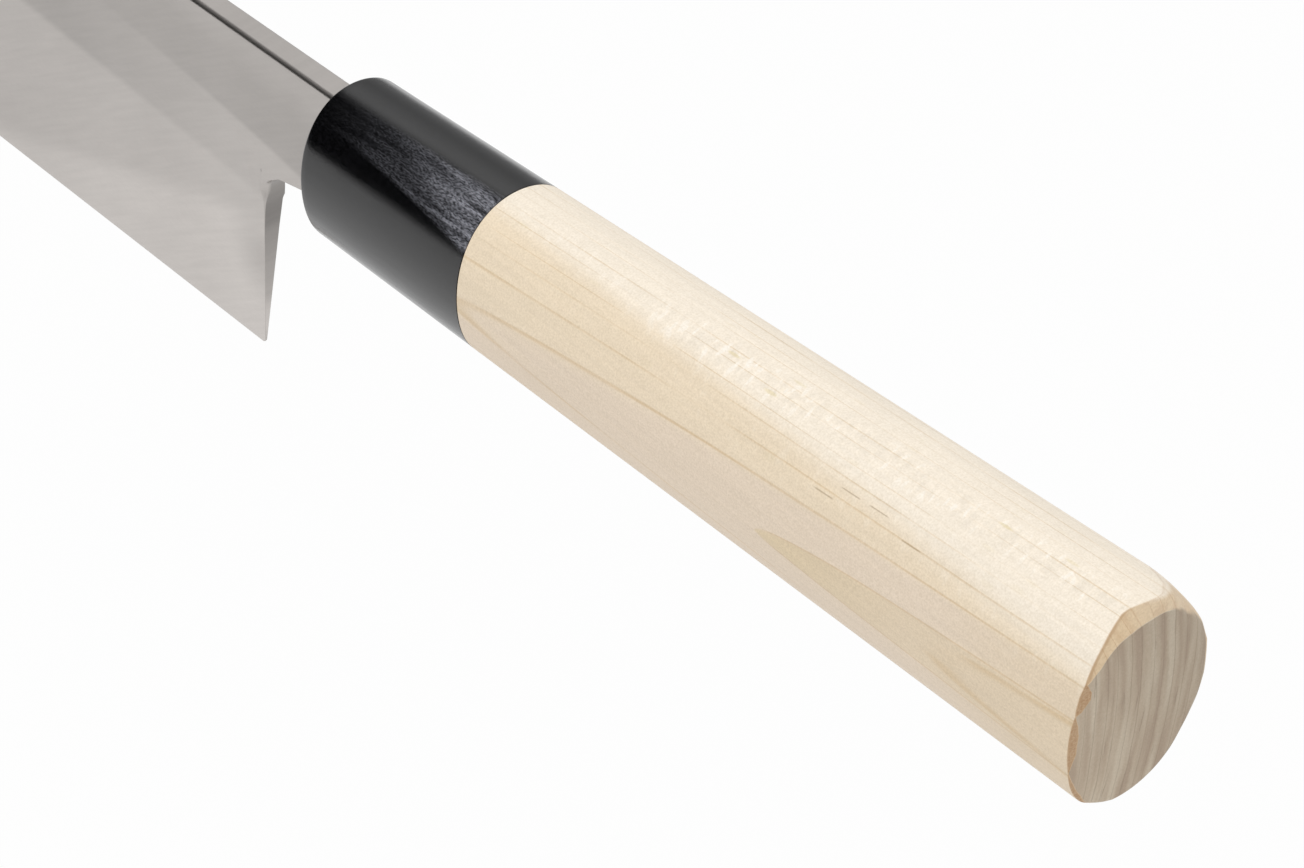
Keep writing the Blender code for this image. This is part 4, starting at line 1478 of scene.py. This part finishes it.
    def dress(self) -> bpy.types.Object:
        """Make the piece."""
        return make_piece("grip_magnolia", self.build(), self.marks, self.finish.make(), "handle_body")


@dataclass
class Bedding:
    """Resin round the tang. Its CAD solid has the right shape and is only dressed."""

    finish: CastAmberResin

    def dress(self) -> bpy.types.Object:
        """Give the CAD solid its finish.

        Returns:
            The piece.
        """
        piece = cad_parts["tang_bedding"]
        piece.data.materials.clear()
        piece.data.materials.append(self.finish.make())
        LOG.info("tang_bedding: CAD solid with %s", piece.data.materials[0].name)
        return piece


@dataclass
class Studio:
    """White floor and sky, one large soft lamp above, an unlit corner ahead on the left, and the camera."""

    floor_drop: float = 0.2
    floor_half: float = 0.92
    floor_colour: str = "#F2F2F2"
    floor_glow: float = 0.92
    # Reflections see shares of the sky's strength: the low one where the direction's Z is below
    # low_z, the high one above high_z. The corner's angles are in degrees.
    sky_strength: float = 0.82
    low_z: float = 0.2
    high_z: float = 0.85
    low_share: float = 0.5
    high_share: float = 1.45
    corner_share: float = 0.02
    corner_azimuth: float = 38.0
    corner_elevation: float = 24.0
    corner_inner: float = 46.0
    corner_outer: float = 61.0
    lamp_watts: float = 3.9
    lamp_size: float = 1.2
    lamp_place: Triple = (-0.1, 0.3, 1.12)
    lens: float = 117.3
    sensor: float = 36.0
    clip_start: float = 0.01
    camera_place: Triple = (-0.3807, 0.2778, 0.3239)
    camera_right: Triple = (-0.69766, -0.71449, 0.05271)
    camera_up: Triple = (0.50298, -0.43608, 0.74622)

    def build_floor(self) -> bpy.types.Object:
        """Plain white floor that still takes a shadow.

        It glows for rays from the camera, from a mirror reflection or through glass.

        Returns:
            The floor.
        """
        material, node = new_material("white_paper_sweep")
        nodes = material.node_tree.nodes
        nodes.remove(nodes["Principled BSDF"])
        path = node("LightPath").node.outputs
        first = node("Math", (path["Is Camera Ray"], path["Is Glossy Ray"]), operation="MAXIMUM")
        clear = node("Math", (first, path["Is Transmission Ray"]), operation="MAXIMUM")
        matte = node("BsdfDiffuse", {"Color": self.floor_colour})
        white = node("Emission", {"Color": "#FFFFFF", "Strength": 1.0})
        share = node("Math", (clear, self.floor_glow), operation="MULTIPLY")
        feed(nodes["Material Output"], {"Surface": node("MixShader", (share, matte, white))})
        h, z = self.floor_half, -self.floor_drop
        mesh = bpy.data.meshes.new("floor")
        mesh.from_pydata([(-h, -h, z), (h, -h, z), (h, h, z), (-h, h, z)], [], [(0, 1, 2, 3)])
        mesh.materials.append(material)
        floor = bpy.data.objects.new("floor", mesh)
        bpy.context.scene.collection.objects.link(floor)
        return floor

    def build_sky(self) -> bpy.types.World:
        """Pale sky, white to the camera and even to matte surfaces.

        Reflections see it brighter overhead than near the floor, with a soft unlit patch ahead
        on the left.

        Returns:
            The world.
        """
        world = bpy.data.worlds.new("white_studio")
        world.use_nodes = True
        node = partial(add_node, world.node_tree)
        azimuth, elevation = math.radians(self.corner_azimuth), math.radians(self.corner_elevation)
        level = math.cos(elevation)
        toward = (level * math.cos(azimuth), level * math.sin(azimuth), math.sin(elevation))
        seen = node("TexCoord", (), "Generated")
        close = node("VectorMath", (seen, toward), "Value", operation="DOT_PRODUCT")
        outer, inner = (math.cos(math.radians(angle)) for angle in (self.corner_outer, self.corner_inner))
        unlit = self.sky_strength * self.corner_share
        lit = node("MapRange", (close, outer, inner, self.sky_strength, unlit), **SOFT)
        height = node("SeparateXYZ", (seen,), 2)
        overhead = node("MapRange", (height, self.low_z, self.high_z, self.low_share, self.high_share), **SOFT)
        mirrored = node("Math", (lit, overhead), operation="MULTIPLY")
        path = node("LightPath").node.outputs
        filled = node("Mix", {0: path["Is Diffuse Ray"], 2: mirrored, 3: self.sky_strength})
        strength = node("Mix", {0: path["Is Camera Ray"], 2: filled, 3: 1.0})
        feed(world.node_tree.nodes["Background"], {"Color": "#FFFFFF", "Strength": strength})
        bpy.context.scene.world = world
        return world

    def stand(self, data: bpy.types.ID, right: Sequence[float], up: Sequence[float], place: Triple) -> bpy.types.Object:
        """Stand a lamp or camera in the studio, with its axes right, up and their cross product.

        Args:
            data: the light or camera, whose name the object takes.
            right: unit vector to its right.
            up: unit vector upwards.
            place: where it stands, in metres.

        Returns:
            The object.
        """
        turned = np.eye(4)
        turned[:3] = np.stack([right, up, np.cross(right, up), place], axis=1)
        stood = bpy.data.objects.new(data.name, data)
        stood.matrix_world = Matrix(turned.tolist())
        bpy.context.scene.collection.objects.link(stood)
        return stood

    def build_lamp(self) -> bpy.types.Object:
        """Large square lamp above, turned to the knife.

        Returns:
            The lamp.
        """
        light = bpy.data.lights.new("overhead_softbox", "AREA")
        light.shape = "SQUARE"
        light.size = self.lamp_size
        light.energy = self.lamp_watts
        back = np.array(self.lamp_place) / np.linalg.norm(self.lamp_place)
        right = np.cross((0.0, 1.0, 0.0), back)
        right /= np.linalg.norm(right)
        return self.stand(light, right, np.cross(back, right), self.lamp_place)

    def build_camera(self) -> bpy.types.Object:
        """Camera at the photograph's place.

        Returns:
            The camera.
        """
        lens = bpy.data.cameras.new("camera")
        lens.lens = self.lens
        lens.sensor_width = self.sensor
        lens.clip_start = self.clip_start
        camera = self.stand(lens, self.camera_right, self.camera_up, self.camera_place)
        bpy.context.scene.camera = camera
        return camera

    def build(self) -> None:
        """Build the studio."""
        self.build_floor()
        self.build_sky()
        self.build_lamp()
        self.build_camera()
        bpy.context.scene.view_settings.view_transform = "Standard"


def main() -> None:
    """Build the knife and the studio."""
    logging.basicConfig(level=logging.INFO, format="%(name)s: %(message)s")
    form, tang = HandleForm(), TangForm()
    pieces = [
        Blade(tang, SatinGroundSteel()).dress(),
        Ferrule(form, tang, BlackLaminatedWood()).dress(),
        Grip(form, tang, BareMagnolia()).dress(),
        Bedding(CastAmberResin()).dress(),
    ]
    Studio().build()
    LOG.info("%d pieces", len(pieces))


if __name__ == "__main__":
    main()
